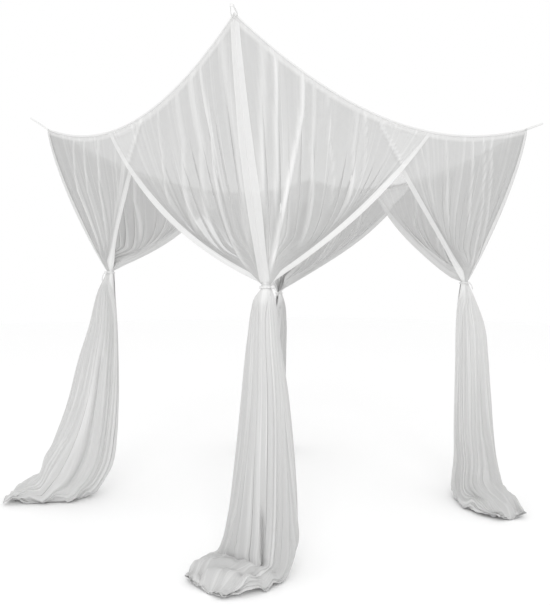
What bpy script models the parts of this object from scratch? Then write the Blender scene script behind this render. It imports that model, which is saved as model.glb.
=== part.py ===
"""Rectangular mosquito net canopy for a double bed, hung from its four top corners.

The net is a sagging roof panel with a bound edge and four curtains.  Each curtain wraps one
corner, overlaps its neighbours at the middle of each side, is drawn in by a tie about
halfway down, and falls to the floor, where the spare cloth lies in a small train.

Metres, +Z up.  The floor is z = 0, X runs along the long sides of the net and Y along the
short ones.  Corners are numbered counter-clockwise seen from above, starting at -X -Y, and
side i runs from corner i to corner i + 1.
"""
import math
from dataclasses import dataclass

import bpy
import numpy as np

COLLECTION = "mosquito_net_canopy"
CUTTERS = "cutters"

# Where the net hangs.
HALF_LENGTH = 1.025        # half the distance between hooks, along X
HALF_WIDTH = 0.880         # the same along Y
HANG_HEIGHT = 2.063        # top corners above the floor
CLOTH_DROP = 2.40          # cut length of a curtain, top edge to bottom hem

# Sheets and gaps.
SHEET = 0.0020             # thickness of the net as a solid
TAPE_SHEET = 0.0010        # thickness of the corner tapes
FACE_GAP = 0.0003          # clearance between faces that touch
HANG_GAP = 0.0010          # curtain top edges below the binding
ROOF_GAP = 0.0009          # roof panel inside the binding
WING_OFFSET = 0.0014       # each layer off the edge line at the top, where two overlap

# Edge binding, a folded tape round the roof.
BINDING_HEIGHT = 0.010
BINDING_DEPTH = 0.005
BINDING_STEPS = 22         # straight pieces on each side

# Roof panel.
ROOF_COLUMNS = 16
ROOF_ROWS = 14
ROOF_RIPPLE = 0.006        # shallow wrinkles drawn towards the corners

# Pleats of a curtain.
PLEATS_PER_WING = 6
PLEAT_UNEVEN = 0.28        # how far the pleats differ in width
PLEAT_MIN_WAVE = 0.82      # the shallower pleats, against the deepest at 1
CORNER_TAPE_HALF = 0.018   # half the tape's width, as a share of a wing
PLEAT_START = 0.050        # share of a wing left flat beside the corner tape
PLEAT_DEPTH_FAN = 0.011    # half the depth of the pleats between the top and the tie
PLEAT_SHARE_TIE = 0.34     # depth of the pleats as a share of the bundle, at the tie
PLEAT_SHARE_LOW = 0.24     # the same on the floor
CORNER_SAG = 0.020         # how far the cloth hangs below a straight line to the tie
BELLY = 1.28               # above 1, the cloth swings in to the tie late, low down
SPREAD_END = 0.9           # share of the fan over which two layers hang apart
SPREAD_POWER = 0.8
SWELL_IN = 0.75            # share of the fan over which the pleats deepen
SWELL_OUT = 0.25           # and over which they close up to the tie
FAN_LENGTH_STEPS = 12
RING_SPAN = math.radians(163)   # the hems stop this far round from the corner
NECK_RADIUS = 0.0235
NECK_HALF = 0.010

FAN_ROWS = (0.0, 0.05, 0.12, 0.21, 0.32, 0.45, 0.58, 0.71, 0.83, 0.93, 1.0)
LOWER_ROWS = 11
FLOOR_FULLNESS = 0.70      # below 1, the sections on the floor are fuller than an ellipse
FULL_FROM = 0.35           # share of the length below the tie where that begins
FULL_OVER = 0.5            # and the share over which it comes in
PLEATS_EASE = 2.5          # the pleats ease out over 1 / 2.5 of that length
FLOOR_SOFTNESS = 0.007     # how gently the cloth settles on the floor
FLOOR_GAP = 0.0025         # middle of the sheet above the floor where it lies
FLOOR_FREE = 40.0          # softnesses above the floor from which it hangs free

# Tie: a ribbon round the neck with a small knot and two free ends.
BAND_RADIUS = 0.0249       # inner radius
BAND_HEIGHT = 0.013
BAND_SHEET = 0.0015
BAND_STEPS = 24
KNOT_RADIUS = 0.0085
KNOT_SQUASH = 0.85
TAIL_STEPS = 6
TAIL_LENGTH = 0.052
TAIL_FLARE = 0.3           # how much narrower the tail is at the knot
TAIL_WIDTH = 0.009
TAIL_SHEET = 0.0012
TAILS = (
    # side of the knot, droop, sideways reach, outward reach, all as shares of the length
    (-1.0, 0.80, 0.62, 0.25),
    (1.0, 0.62, 0.62, 0.25),
)
TAIL_TURN_DOWN = 0.75      # share of the droop that comes towards the tip

# Hanging loop of ribbon at each top corner.
LOOP_RIBBON = 0.009        # ribbon width
LOOP_SHEET = 0.0015
LOOP_BASE_HALF = 0.011     # half the distance between its legs at the corner
LOOP_TIP_HALF = 0.0055     # half the distance at the hook
LOOP_START = -0.0073       # its legs begin this far out from the corner, beside the binding
LOOP_LEGS = (
    # share of the way from the start to the hook, share of the base width
    (0.0, 1.0),
    (0.35, 0.85),
    (0.7, 0.65),
)
LOOP_BEND_ANGLES = (0, 30, 60)   # degrees round the bend

# One row for each section of the gathered cloth below a tie: how far the section has moved
# along the sweep and to its left, its height, how far it has tipped over from level
# (degrees), half its width across the sweep, and its reach ahead and behind.
SECTIONS_FRONT_LEFT = (
    # advance, side, height, tilt, half_wide, ahead, behind
    (0.010, 0.000, 1.090, 0, 0.040, 0.038, 0.036),
    (0.012, 0.000, 0.950, 0, 0.065, 0.058, 0.056),
    (0.006, 0.000, 0.710, 0, 0.104, 0.082, 0.082),
    (0.014, 0.000, 0.420, 0, 0.134, 0.100, 0.102),
    (0.028, -0.014, 0.235, 8, 0.153, 0.110, 0.129),
    (0.055, -0.034, 0.110, 38, 0.168, 0.125, 0.165),
    (0.110, -0.042, 0.042, 64, 0.170, 0.112, 0.050),
    (0.185, -0.052, 0.024, 84, 0.156, 0.072, 0.022),
    (0.295, -0.046, 0.018, 90, 0.112, 0.034, 0.016),
)
SECTIONS_FRONT_RIGHT = (
    (0.000, 0.012, 1.120, 0, 0.046, 0.040, 0.040),
    (0.004, 0.034, 0.960, 0, 0.084, 0.064, 0.064),
    (0.006, 0.038, 0.780, 0, 0.095, 0.076, 0.076),
    (0.010, 0.040, 0.570, 0, 0.104, 0.086, 0.086),
    (0.018, 0.044, 0.350, 0, 0.110, 0.092, 0.094),
    (0.034, 0.048, 0.205, 10, 0.114, 0.096, 0.112),
    (0.064, 0.036, 0.106, 38, 0.128, 0.105, 0.138),
    (0.140, 0.014, 0.040, 66, 0.136, 0.100, 0.046),
    (0.250, 0.004, 0.024, 85, 0.126, 0.060, 0.022),
    (0.390, 0.006, 0.018, 90, 0.084, 0.030, 0.016),
)
SECTIONS_BACK_RIGHT = (
    (0.000, -0.004, 1.090, 0, 0.038, 0.034, 0.034),
    (0.004, 0.000, 0.950, 0, 0.052, 0.050, 0.050),
    (0.010, 0.016, 0.710, 0, 0.070, 0.066, 0.066),
    (0.018, 0.036, 0.440, 0, 0.088, 0.082, 0.082),
    (0.034, 0.060, 0.225, 10, 0.108, 0.094, 0.108),
    (0.068, 0.078, 0.110, 40, 0.120, 0.100, 0.136),
    (0.132, 0.090, 0.042, 66, 0.126, 0.095, 0.048),
    (0.220, 0.098, 0.024, 86, 0.124, 0.060, 0.022),
    (0.320, 0.100, 0.018, 90, 0.112, 0.030, 0.016),
)
SECTIONS_BACK_LEFT = (
    (0.016, 0.000, 1.170, 0, 0.046, 0.044, 0.044),
    (0.033, 0.000, 0.950, 0, 0.082, 0.078, 0.078),
    (0.056, 0.000, 0.780, 0, 0.098, 0.106, 0.106),
    (0.088, 0.000, 0.545, 0, 0.114, 0.136, 0.138),
    (0.128, 0.000, 0.370, 9, 0.124, 0.156, 0.165),
    (0.175, 0.000, 0.245, 28, 0.128, 0.158, 0.190),
    (0.240, 0.000, 0.130, 50, 0.130, 0.165, 0.160),
    (0.330, 0.000, 0.046, 70, 0.127, 0.130, 0.050),
    (0.430, 0.000, 0.024, 84, 0.122, 0.078, 0.022),
    (0.545, 0.000, 0.018, 90, 0.112, 0.036, 0.016),
)


@dataclass(frozen=True)
class Side:
    """One top edge of the net, hanging in a curve between two hooks."""

    sag: float             # drop at the middle
    bow: float             # pull towards the bed at the middle
    spread: float          # half the distance between its two layers below the edge
    outer: int             # 1 if the wing from the side's first corner lies outside, or -1


@dataclass(frozen=True)
class Corner:
    """One curtain, the corner it hangs from and the tie that draws it in."""

    name: str
    x_sign: int
    y_sign: int
    left_reach: float      # share of the previous side that its left wing covers
    right_reach: float     # share of the next side that its right wing covers
    inset_x: float         # tie, measured in from the corner
    inset_y: float
    tie_height: float
    sweep: float           # heading of the train on the floor, degrees from +X
    knot: float            # where the knot sits round the tie, degrees from +X
    left_sag: float        # hang of each hem below a straight line to the tie
    right_sag: float
    loop_reach: float      # hanging loop, out from the corner
    loop_rise: float
    sections: tuple


SIDES = (
    Side(sag=0.162, bow=0.070, spread=0.014, outer=1),
    Side(sag=0.187, bow=0.045, spread=0.030, outer=-1),
    Side(sag=0.224, bow=0.054, spread=0.030, outer=-1),
    Side(sag=0.169, bow=0.043, spread=0.014, outer=-1),
)

CORNERS = (
    Corner("front_left", -1, -1, 0.600, 0.600, 0.338, 0.238, 1.152, 186, 284,
           0.082, 0.062, 0.060, 0.000, SECTIONS_FRONT_LEFT),
    Corner("front_right", 1, -1, 0.610, 0.620, 0.273, 0.225, 1.200, 246.5, 256,
           0.035, 0.118, 0.088, 0.030, SECTIONS_FRONT_RIGHT),
    Corner("back_right", 1, 1, 0.590, 0.600, 0.432, 0.127, 1.161, 49.5, 60,
           0.085, 0.050, 0.088, 0.045, SECTIONS_BACK_RIGHT),
    Corner("back_left", -1, 1, 0.600, 0.595, 0.260, 0.243, 1.259, 144.6, 200,
           0.040, 0.035, 0.100, 0.066, SECTIONS_BACK_LEFT),
)

NET_WHITE = (0.86, 0.86, 0.85, 1.0)
TAPE_WHITE = (0.93, 0.93, 0.92, 1.0)


# Shape of the top edge.

def corner_point(index):
    """Hook position of a corner."""
    corner = CORNERS[index % 4]
    return np.array([corner.x_sign * HALF_LENGTH, corner.y_sign * HALF_WIDTH, HANG_HEIGHT])


def side_heading(index):
    """Outward direction of a side, in radians from +X and unwrapped."""
    return math.radians(-90 + 90 * index)


def edge_point(index, share):
    """Point on a side's hanging edge, share 0 at corner index and 1 at the next."""
    side = SIDES[index % 4]
    curve = 4.0 * share * (1.0 - share)
    heading = side_heading(index)
    inward = np.array([-math.cos(heading), -math.sin(heading), 0.0])
    chord = corner_point(index) * (1.0 - share) + corner_point(index + 1) * share
    return chord + inward * side.bow * curve - np.array([0.0, 0.0, side.sag * curve])


# Shape of one curtain.  u runs from -1 at the left hem through 0 at the corner to 1 at the
# right hem, and the pleat wave is -1 in a trough and 1 on a crest.

def pleat_columns():
    """The curtain's columns as (u, wave) pairs, left hem to right hem."""
    wing = [(CORNER_TAPE_HALF, 0.0)]
    folds = 2 * PLEATS_PER_WING
    position = PLEAT_START
    widths = [1.0 + PLEAT_UNEVEN * math.sin(2.3 * i + 0.6) for i in range(folds)]
    scale = (1.0 - PLEAT_START) / sum(widths)
    for i, width in enumerate(widths):
        wave = 1.0 if i % 2 else -1.0
        depth = PLEAT_MIN_WAVE + (1.0 - PLEAT_MIN_WAVE) * math.sin(1.7 * i)
        wing.append((position, 0.0 if i == 0 else wave * depth))
        position += width * scale
    wing.append((1.0, 0.0))
    left = [(-u, wave) for u, wave in reversed(wing)]
    return left + [(0.0, 0.0)] + wing


def smooth(value):
    """Ease from 0 to 1."""
    value = min(max(value, 0.0), 1.0)
    return value * value * (3.0 - 2.0 * value)


def top_point(index, u):
    """Where line u of a curtain leaves the edge binding."""
    corner = CORNERS[index]
    if u < 0.0:
        return edge_point(index + 3, 1.0 + u * corner.left_reach)
    return edge_point(index, u * corner.right_reach)


def top_heading(index, u):
    """Outward direction of the cloth at the top edge, turning quickly at the corner."""
    left = math.radians(-180 + 90 * index)
    return left + 0.5 * math.pi * smooth(0.5 + 0.5 * u / PLEAT_START)


def tie_centre(index):
    corner = CORNERS[index]
    return np.array([
        corner.x_sign * (HALF_LENGTH - corner.inset_x),
        corner.y_sign * (HALF_WIDTH - corner.inset_y),
        corner.tie_height,
    ])


def ring_heading(index, u):
    """Direction of line u from the middle of the gathered bundle."""
    corner = CORNERS[index]
    diagonal = -135 + 90 * index
    outward = math.degrees(math.atan2(corner.y_sign * corner.inset_y,
                                      corner.x_sign * corner.inset_x))
    turn = (outward - diagonal + 180) % 360 - 180
    return math.radians(diagonal + turn) + u * RING_SPAN


def level_direction(heading):
    return np.array([math.cos(heading), math.sin(heading), 0.0])


def neck_point(index, u, wave, rise):
    """Point on the pleated neck inside the tie."""
    radius = NECK_RADIUS * (1.0 + 0.5 * PLEAT_SHARE_TIE * (wave - 1.0))
    return (tie_centre(index) + level_direction(ring_heading(index, u)) * radius
            + np.array([0.0, 0.0, rise]))


def fan_point(index, u, wave, share):
    """Point between the top edge (share 0) and the tie (share 1)."""
    corner = CORNERS[index]
    top = top_point(index, u) - np.array([0.0, 0.0, HANG_GAP])
    tie = neck_point(index, u, wave, NECK_HALF)
    outward = level_direction(side_heading(index if u > 0.0 else index - 1))
    if u == 0.0:
        outward = level_direction(side_heading(index - 0.5))
    belly = float((top - tie) @ outward) * (share - share ** BELLY)
    hem_sag = corner.right_sag if u > 0.0 else corner.left_sag
    sag = CORNER_SAG + (hem_sag - CORNER_SAG) * abs(u)
    point = top + (tie - top) * share + outward * belly
    point[2] -= sag * 4.0 * share * (1.0 - share)
    heading = top_heading(index, u)
    heading += (ring_heading(index, u) - heading) * smooth(share)
    side = SIDES[(index if u > 0.0 else index - 1) % 4]
    layer = side.outer * min(max(u / PLEAT_START, -1.0), 1.0)
    spread = side.spread * math.sin(math.pi * min(share / SPREAD_END, 1.0)) ** SPREAD_POWER
    offset = layer * (WING_OFFSET * (1.0 - share) + spread * abs(u))
    swell = smooth(share / SWELL_IN) * smooth((1.0 - share) / SWELL_OUT)
    offset += wave * PLEAT_DEPTH_FAN * swell
    return point + level_direction(heading) * offset


def fan_length(index, u):
    """Length of line u from the top edge to the tie."""
    points = [fan_point(index, u, 0.0, i / FAN_LENGTH_STEPS)
              for i in range(FAN_LENGTH_STEPS + 1)]
    return sum(float(np.linalg.norm(b - a)) for a, b in zip(points, points[1:]))


def section_path(index):
    """The sections below a tie with the running length at each."""
    corner = CORNERS[index]
    start = (0.0, 0.0, corner.tie_height - NECK_HALF, 0.0) + 3 * (NECK_RADIUS,)
    rows = np.array((start,) + corner.sections)
    steps = np.linalg.norm(np.diff(rows[:, :3], axis=0), axis=1)
    return rows, np.concatenate([[0.0], np.cumsum(steps)])


def section_at(rows, lengths, length):
    """Smooth blend of the section rows at a running length."""
    length = min(max(length, 0.0), lengths[-1])
    i = min(int(np.searchsorted(lengths, length, side="right")) - 1, len(rows) - 2)
    slopes = np.gradient(rows, lengths, axis=0)
    span = lengths[i + 1] - lengths[i]
    t = (length - lengths[i]) / span
    return ((1 + 2 * t) * (1 - t) ** 2 * rows[i] + t * (1 - t) ** 2 * span * slopes[i]
            + t * t * (3 - 2 * t) * rows[i + 1] + t * t * (t - 1) * span * slopes[i + 1])


def signed_power(value, power):
    return math.copysign(abs(value) ** power, value)


def lower_point(index, u, wave, length, path):
    """Point on the gathered cloth at a running length below the tie."""
    rows, lengths = path
    corner = CORNERS[index]
    advance, side, height, tilt, half_wide, ahead, behind = section_at(rows, lengths, length)
    along = level_direction(math.radians(corner.sweep))
    across = level_direction(math.radians(corner.sweep + 90))
    lean = math.radians(tilt)
    thin_axis = along * math.cos(lean) + np.array([0.0, 0.0, math.sin(lean)])
    centre = tie_centre(index) + along * advance + across * side
    centre[2] = height
    ring = level_direction(ring_heading(index, u))
    share = length / lengths[-1]
    fullness = 1.0 + (FLOOR_FULLNESS - 1.0) * smooth((share - FULL_FROM) / FULL_OVER)
    forward = signed_power(float(ring @ along), fullness)
    sideways = signed_power(float(ring @ across), fullness)
    half_thin = ahead if forward > 0.0 else behind
    depth = PLEAT_SHARE_TIE + (PLEAT_SHARE_LOW - PLEAT_SHARE_TIE) * smooth(PLEATS_EASE * share)
    reach = 1.0 + 0.5 * depth * (wave - 1.0)
    point = (centre + across * half_wide * reach * sideways
             + thin_axis * half_thin * reach * forward)
    above = (point[2] - FLOOR_GAP) / FLOOR_SOFTNESS
    settled = above if above > FLOOR_FREE else math.log1p(math.exp(above))
    point[2] = FLOOR_GAP + FLOOR_SOFTNESS * settled
    return point


def curtain_rows(index):
    """The curtain as rows of points, top edge first, bottom hem last."""
    columns = pleat_columns()
    path = section_path(index)
    spare = [CLOTH_DROP - fan_length(index, u) - 2.0 * NECK_HALF for u, _ in columns]
    rows = [[fan_point(index, u, wave, share) for u, wave in columns] for share in FAN_ROWS]
    for step in range(LOWER_ROWS + 1):
        rows.append([lower_point(index, u, wave, drop * step / LOWER_ROWS, path)
                     for (u, wave), drop in zip(columns, spare)])
    return rows


# Blender helpers.

def clear_scene():
    for item in list(bpy.data.objects):
        bpy.data.objects.remove(item, do_unlink=True)


def make_collection(name):
    collection = bpy.data.collections.new(name)
    bpy.context.scene.collection.children.link(collection)
    return collection


def make_material(name, colour, roughness):
    material = bpy.data.materials.new(name)
    material.use_nodes = True
    shader = material.node_tree.nodes["Principled BSDF"]
    shader.inputs["Base Color"].default_value = colour
    shader.inputs["Roughness"].default_value = roughness
    shader.inputs["Metallic"].default_value = 0.0
    return material


def finish_object(item, name, material, collection, parent=None):
    """Name the active object, give it its material and file it under its collection."""
    item.name = name
    item.data.name = name
    item.data.materials.clear()
    item.data.materials.append(material)
    item.data.shade_smooth()
    for other in list(item.users_collection):
        other.objects.unlink(item)
    collection.objects.link(item)
    if parent is not None:
        item.parent = parent
    return item


def sheet_grid(rows):
    """A grid primitive whose vertices are moved onto rows of points."""
    count = len(rows[0])
    bpy.ops.mesh.primitive_grid_add(x_subdivisions=count - 1, y_subdivisions=len(rows) - 1,
                                    size=2.0, location=(0.0, 0.0, 0.0))
    item = bpy.context.active_object
    for vertex in item.data.vertices:
        column = round((vertex.co.x + 1.0) * 0.5 * (count - 1))
        row = round((1.0 - vertex.co.y) * 0.5 * (len(rows) - 1))
        vertex.co = rows[row][column]
    return item


def add_thickness(item, thickness, offset=0.0, even=True):
    solidify = item.modifiers.new("thickness", "SOLIDIFY")
    solidify.thickness = thickness
    solidify.offset = offset
    solidify.use_even_offset = even
    return solidify


# The pieces.

def add_roof(root, collection, material):
    """Roof panel: a patch between the four hanging edges, sagging in the middle."""
    inset = 0.5 * BINDING_DEPTH + ROOF_GAP

    def rim(index, share):
        point = edge_point(index, share)
        heading = side_heading(index)
        point[2] += 0.5 * BINDING_HEIGHT
        return point - level_direction(heading) * inset * (1.0 if 0 < share < 1 else 0.0)

    corners = []
    for index in range(4):
        corner = CORNERS[index]
        point = corner_point(index) + np.array([0.0, 0.0, 0.5 * BINDING_HEIGHT])
        corners.append(point - np.array([corner.x_sign * inset, corner.y_sign * inset, 0.0]))

    def patch(s, t):
        near = corners[0] if s == 0 else corners[1] if s == 1 else rim(0, s)
        far = corners[3] if s == 0 else corners[2] if s == 1 else rim(2, 1.0 - s)
        left = corners[0] if t == 0 else corners[3] if t == 1 else rim(3, 1.0 - t)
        right = corners[1] if t == 0 else corners[2] if t == 1 else rim(1, t)
        ruled = near * (1 - t) + far * t + left * (1 - s) + right * s
        bilinear = (corners[0] * (1 - s) * (1 - t) + corners[1] * s * (1 - t)
                    + corners[3] * (1 - s) * t + corners[2] * s * t)
        point = ruled - bilinear
        calm = 16.0 * s * (1 - s) * t * (1 - t)
        point[2] += ROOF_RIPPLE * calm * math.sin(7.0 * s + 5.0 * t) * math.cos(6.0 * t - 3.0 * s)
        return point

    rows = [[patch(i / ROOF_COLUMNS, 1.0 - j / ROOF_ROWS) for i in range(ROOF_COLUMNS + 1)]
            for j in range(ROOF_ROWS + 1)]
    item = finish_object(sheet_grid(rows), "roof_panel", material, collection, root)
    add_thickness(item, SHEET)


def add_binding(root, collection, material):
    """Edge binding: one closed band round the four hanging edges."""
    count = 4 * BINDING_STEPS
    bpy.ops.mesh.primitive_cylinder_add(vertices=count, radius=1.0, depth=2.0,
                                        end_fill_type="NOTHING")
    item = bpy.context.active_object
    for vertex in item.data.vertices:
        turn = math.atan2(vertex.co.y, vertex.co.x) / (2.0 * math.pi) % 1.0
        step = round(turn * count) % count
        point = edge_point(step // BINDING_STEPS, (step % BINDING_STEPS) / BINDING_STEPS)
        point[2] += BINDING_HEIGHT if vertex.co.z > 0.0 else 0.0
        vertex.co = point
    finish_object(item, "edge_binding", material, collection, root)
    add_thickness(item, BINDING_DEPTH)


def add_curtain(index, root, collection, material):
    """One curtain with its hem, from the top edge through the tie to the floor."""
    name = f"curtain_{CORNERS[index].name}"
    item = finish_object(sheet_grid(curtain_rows(index)), name, material, collection, root)
    add_thickness(item, SHEET, even=False)


def add_corner_tape(index, root, collection, material):
    """Tape sewn down the outside of the curtain's corner, from the top to the tie."""
    columns = [(-CORNER_TAPE_HALF, 0.0), (0.0, 0.0), (CORNER_TAPE_HALF, 0.0)]
    rows = [[fan_point(index, u, wave, share) for u, wave in columns]
            for share in FAN_ROWS[1:-1]]
    name = f"corner_tape_{CORNERS[index].name}"
    item = finish_object(sheet_grid(rows), name, material, collection, root)
    stand_off = 0.5 * SHEET + FACE_GAP
    add_thickness(item, TAPE_SHEET, offset=2.0 * stand_off / TAPE_SHEET + 1.0, even=False)


def add_tie(index, root, collection, cutters, material):
    """Ribbon tie: a band round the neck, a knot and two free ends, one solid."""
    corner = CORNERS[index]
    centre = tie_centre(index)
    bpy.ops.mesh.primitive_cylinder_add(vertices=BAND_STEPS, radius=BAND_RADIUS,
                                        depth=BAND_HEIGHT, end_fill_type="NOTHING",
                                        location=centre)
    band = finish_object(bpy.context.active_object, f"tie_{corner.name}", material,
                         collection, root)
    add_thickness(band, BAND_SHEET, offset=1.0)
    heading = math.radians(corner.knot)
    outward = level_direction(heading)
    sideways = level_direction(heading + 0.5 * math.pi)
    seat = centre + outward * (BAND_RADIUS + FACE_GAP + KNOT_RADIUS)
    bpy.ops.mesh.primitive_uv_sphere_add(segments=10, ring_count=6, radius=KNOT_RADIUS,
                                         location=seat)
    knot = bpy.context.active_object
    knot.scale = (1.0, 1.0, KNOT_SQUASH)
    pieces = [knot]
    for turn, droop, aside, away in TAILS:
        rows = []
        for step in range(TAIL_STEPS + 1):
            share = step / TAIL_STEPS
            run = TAIL_LENGTH * share
            curl = 1.0 - 0.4 * share
            fall = droop * run * (1.0 - TAIL_TURN_DOWN + TAIL_TURN_DOWN * share)
            spine = (seat + sideways * turn * aside * run * curl + outward * away * run * curl
                     - np.array([0.0, 0.0, fall]))
            half = 0.5 * TAIL_WIDTH * (1.0 - TAIL_FLARE * (1.0 - share))
            rise = np.array([0.0, 0.0, half])
            rows.append([spine - rise, spine + rise])
        tail = sheet_grid(rows)
        add_thickness(tail, TAIL_SHEET)
        pieces.append(tail)
    for number, piece in enumerate(pieces):
        finish_object(piece, f"tie_piece_{corner.name}_{number}", material, cutters, root)
        piece.hide_render = True
        piece.display_type = "WIRE"
        join = band.modifiers.new(f"join_{number}", "BOOLEAN")
        join.operation = "UNION"
        join.object = piece


def add_loop(index, root, collection, material):
    """Hanging loop: a ribbon with both ends at the corner and its bend round the hook."""
    corner = CORNERS[index]
    heading = math.radians(-135 + 90 * index)
    level = level_direction(heading)
    side = level_direction(heading + 0.5 * math.pi)
    length = math.hypot(corner.loop_reach, corner.loop_rise)
    outward = (level * corner.loop_reach + np.array([0.0, 0.0, corner.loop_rise])) / length
    across = np.cross(outward, side)
    seat = corner_point(index) + np.array([0.0, 0.0, 0.5 * BINDING_HEIGHT])
    half = [(LOOP_START + share * (length - LOOP_START), width * LOOP_BASE_HALF)
            for share, width in LOOP_LEGS]
    for degrees in LOOP_BEND_ANGLES:
        angle = math.radians(degrees)
        half.append((length - LOOP_TIP_HALF * (1.0 - math.sin(angle)),
                     LOOP_TIP_HALF * math.cos(angle)))
    outline = half + [(run, -offset) for run, offset in reversed(half)]
    rows = []
    for run, offset in outline:
        spine = seat + outward * run + side * offset
        rows.append([spine - across * 0.5 * LOOP_RIBBON, spine + across * 0.5 * LOOP_RIBBON])
    name = f"hanging_loop_{corner.name}"
    item = finish_object(sheet_grid(rows), name, material, collection, root)
    add_thickness(item, LOOP_SHEET)
    item.data.shade_flat()


def centre_on_floor(root, collection):
    """Slide the whole net so that the middle of its box is over the origin."""
    graph = bpy.context.evaluated_depsgraph_get()
    graph.update()
    points = []
    for item in collection.objects:
        if item.type == "MESH":
            mesh = item.evaluated_get(graph).to_mesh()
            points.append(np.array([item.matrix_world @ v.co for v in mesh.vertices]))
    points = np.concatenate(points)
    low, high = points.min(axis=0), points.max(axis=0)
    root.location = (-0.5 * (low[0] + high[0]), -0.5 * (low[1] + high[1]), -low[2])


def main():
    clear_scene()
    collection = make_collection(COLLECTION)
    cutters = make_collection(CUTTERS)
    net = make_material("net", NET_WHITE, 0.75)
    tape = make_material("tape", TAPE_WHITE, 0.70)
    bpy.ops.object.empty_add(location=(0.0, 0.0, 0.0))
    root = bpy.context.active_object
    root.name = "canopy_origin"
    for other in list(root.users_collection):
        other.objects.unlink(root)
    collection.objects.link(root)
    add_roof(root, collection, net)
    add_binding(root, collection, tape)
    for index in range(4):
        add_curtain(index, root, collection, net)
        add_corner_tape(index, root, collection, tape)
        add_tie(index, root, collection, cutters, tape)
        add_loop(index, root, collection, tape)
    centre_on_floor(root, collection)
    bpy.context.view_layer.update()


main()
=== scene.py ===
"""Mosquito net canopy for a double bed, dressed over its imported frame.

The net is a roof panel with a bound edge and four curtains.  Each curtain wraps a corner, is
drawn in by a tie and falls to the floor.  Every piece of cloth here is one thin sheet on the
folds of its solid, with the finer pleats, creases, hems and stitches that the solid leaves
out.  Metres, +Z up, the floor at z = 0.  Corners are numbered counter-clockwise seen from
above, starting at -X -Y, and side i runs from corner i to corner i + 1.
"""
from __future__ import annotations

import logging
import math
from dataclasses import dataclass
from enum import Enum
from typing import Any, Callable

import bpy
import numpy as np
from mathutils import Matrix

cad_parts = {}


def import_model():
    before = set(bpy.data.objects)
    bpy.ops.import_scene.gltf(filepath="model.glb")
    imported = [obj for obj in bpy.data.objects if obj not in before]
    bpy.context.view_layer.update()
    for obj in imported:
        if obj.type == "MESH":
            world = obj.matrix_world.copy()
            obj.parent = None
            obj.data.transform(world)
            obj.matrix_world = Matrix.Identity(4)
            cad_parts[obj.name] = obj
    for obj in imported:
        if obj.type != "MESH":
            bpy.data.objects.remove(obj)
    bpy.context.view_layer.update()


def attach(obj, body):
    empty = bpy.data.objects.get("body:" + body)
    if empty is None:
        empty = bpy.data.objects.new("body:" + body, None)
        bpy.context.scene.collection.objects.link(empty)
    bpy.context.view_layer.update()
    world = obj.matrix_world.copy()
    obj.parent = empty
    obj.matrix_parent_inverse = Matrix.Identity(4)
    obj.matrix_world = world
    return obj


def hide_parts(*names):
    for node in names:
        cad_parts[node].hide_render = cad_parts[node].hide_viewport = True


LOG = logging.getLogger("canopy")
COVER = "cloth_cover"
# Whiteness of the net from its layers, which also carries painted light and shade on the
# gathered cloth and in the tucks.
WHITE_AND_PAINTED_LIGHT = "cloth_white_and_painted_light"
CLOTH_UV = "cloth_uv"


# ---------------------------------------------------------------- small sums

def ease(value: Any) -> Any:
    """Ease from 0 to 1, for a number or an array."""
    value = np.clip(value, 0.0, 1.0)
    return value * value * (3.0 - 2.0 * value)


def level(heading: Any) -> np.ndarray:
    """Level unit vector, or one for each heading, in radians from +X."""
    heading = np.asarray(heading, dtype=float)
    return np.stack([np.cos(heading), np.sin(heading), np.zeros_like(heading)], axis=-1)


def up(rise: Any) -> np.ndarray:
    """Upright vector, or one for each rise."""
    rise = np.asarray(rise, dtype=float)
    return np.stack([np.zeros_like(rise), np.zeros_like(rise), rise], axis=-1)


def running(points: np.ndarray) -> np.ndarray:
    """Running length along a row of points, starting at 0."""
    steps = np.linalg.norm(np.diff(points, axis=0), axis=1)
    return np.concatenate([[0.0], np.cumsum(steps)])


@dataclass(frozen=True)
class Fade:
    """A smooth rise from 0 to 1 over one stretch of a measure."""

    start: float
    width: float

    def __call__(self, value: Any) -> Any:
        """Return the rise at a value, a number or an array."""
        return ease((value - self.start) / self.width)


# ---------------------------------------------------------------- the hanging shape

@dataclass(frozen=True)
class Side:
    """One top edge of the net, hanging in a curve between two hooks.

    Attributes:
        sag: How far its middle hangs below the hooks, in metres.
        bow: How far its middle is drawn inward.
        spread: How far the wings below it swing apart, one outside the other.
        cover: Share of the light that its plain cloth stops.
        outer: 1 if the wing from its first corner lies outside, or -1.
    """

    sag: float
    bow: float
    spread: float
    cover: float
    outer: int


@dataclass(frozen=True)
class Crease:
    """One crease pressed into the fan of a curtain.

    The line runs through three points of the cloth, each given as u across the curtain and
    the share of the way from the top edge to the tie.

    Attributes:
        half_width: Half its width, in metres.
        strength: Layers of cloth on its line, 0 for one and 1 for several.
        ridge: How far it stands out, in metres.
    """

    u_top: float
    share_top: float
    u_mid: float
    share_mid: float
    u_end: float
    share_end: float
    half_width: float
    strength: float
    ridge: float = 0.004


@dataclass(frozen=True)
class Dent:
    """A deep crease down the gathered cloth below a tie.

    Attributes:
        v: Where it starts round the bundle, -1 to 1.
        start: Running length below the tie at which it starts, in metres.
        end: Running length at which it ends.
        depth: Share of the bundle's radius by which it is pressed in.
        half_width: Half its width in v.
        drift: Change of v for each metre down.
    """

    v: float
    start: float
    end: float
    depth: float
    half_width: float
    drift: float = 0.0


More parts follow.
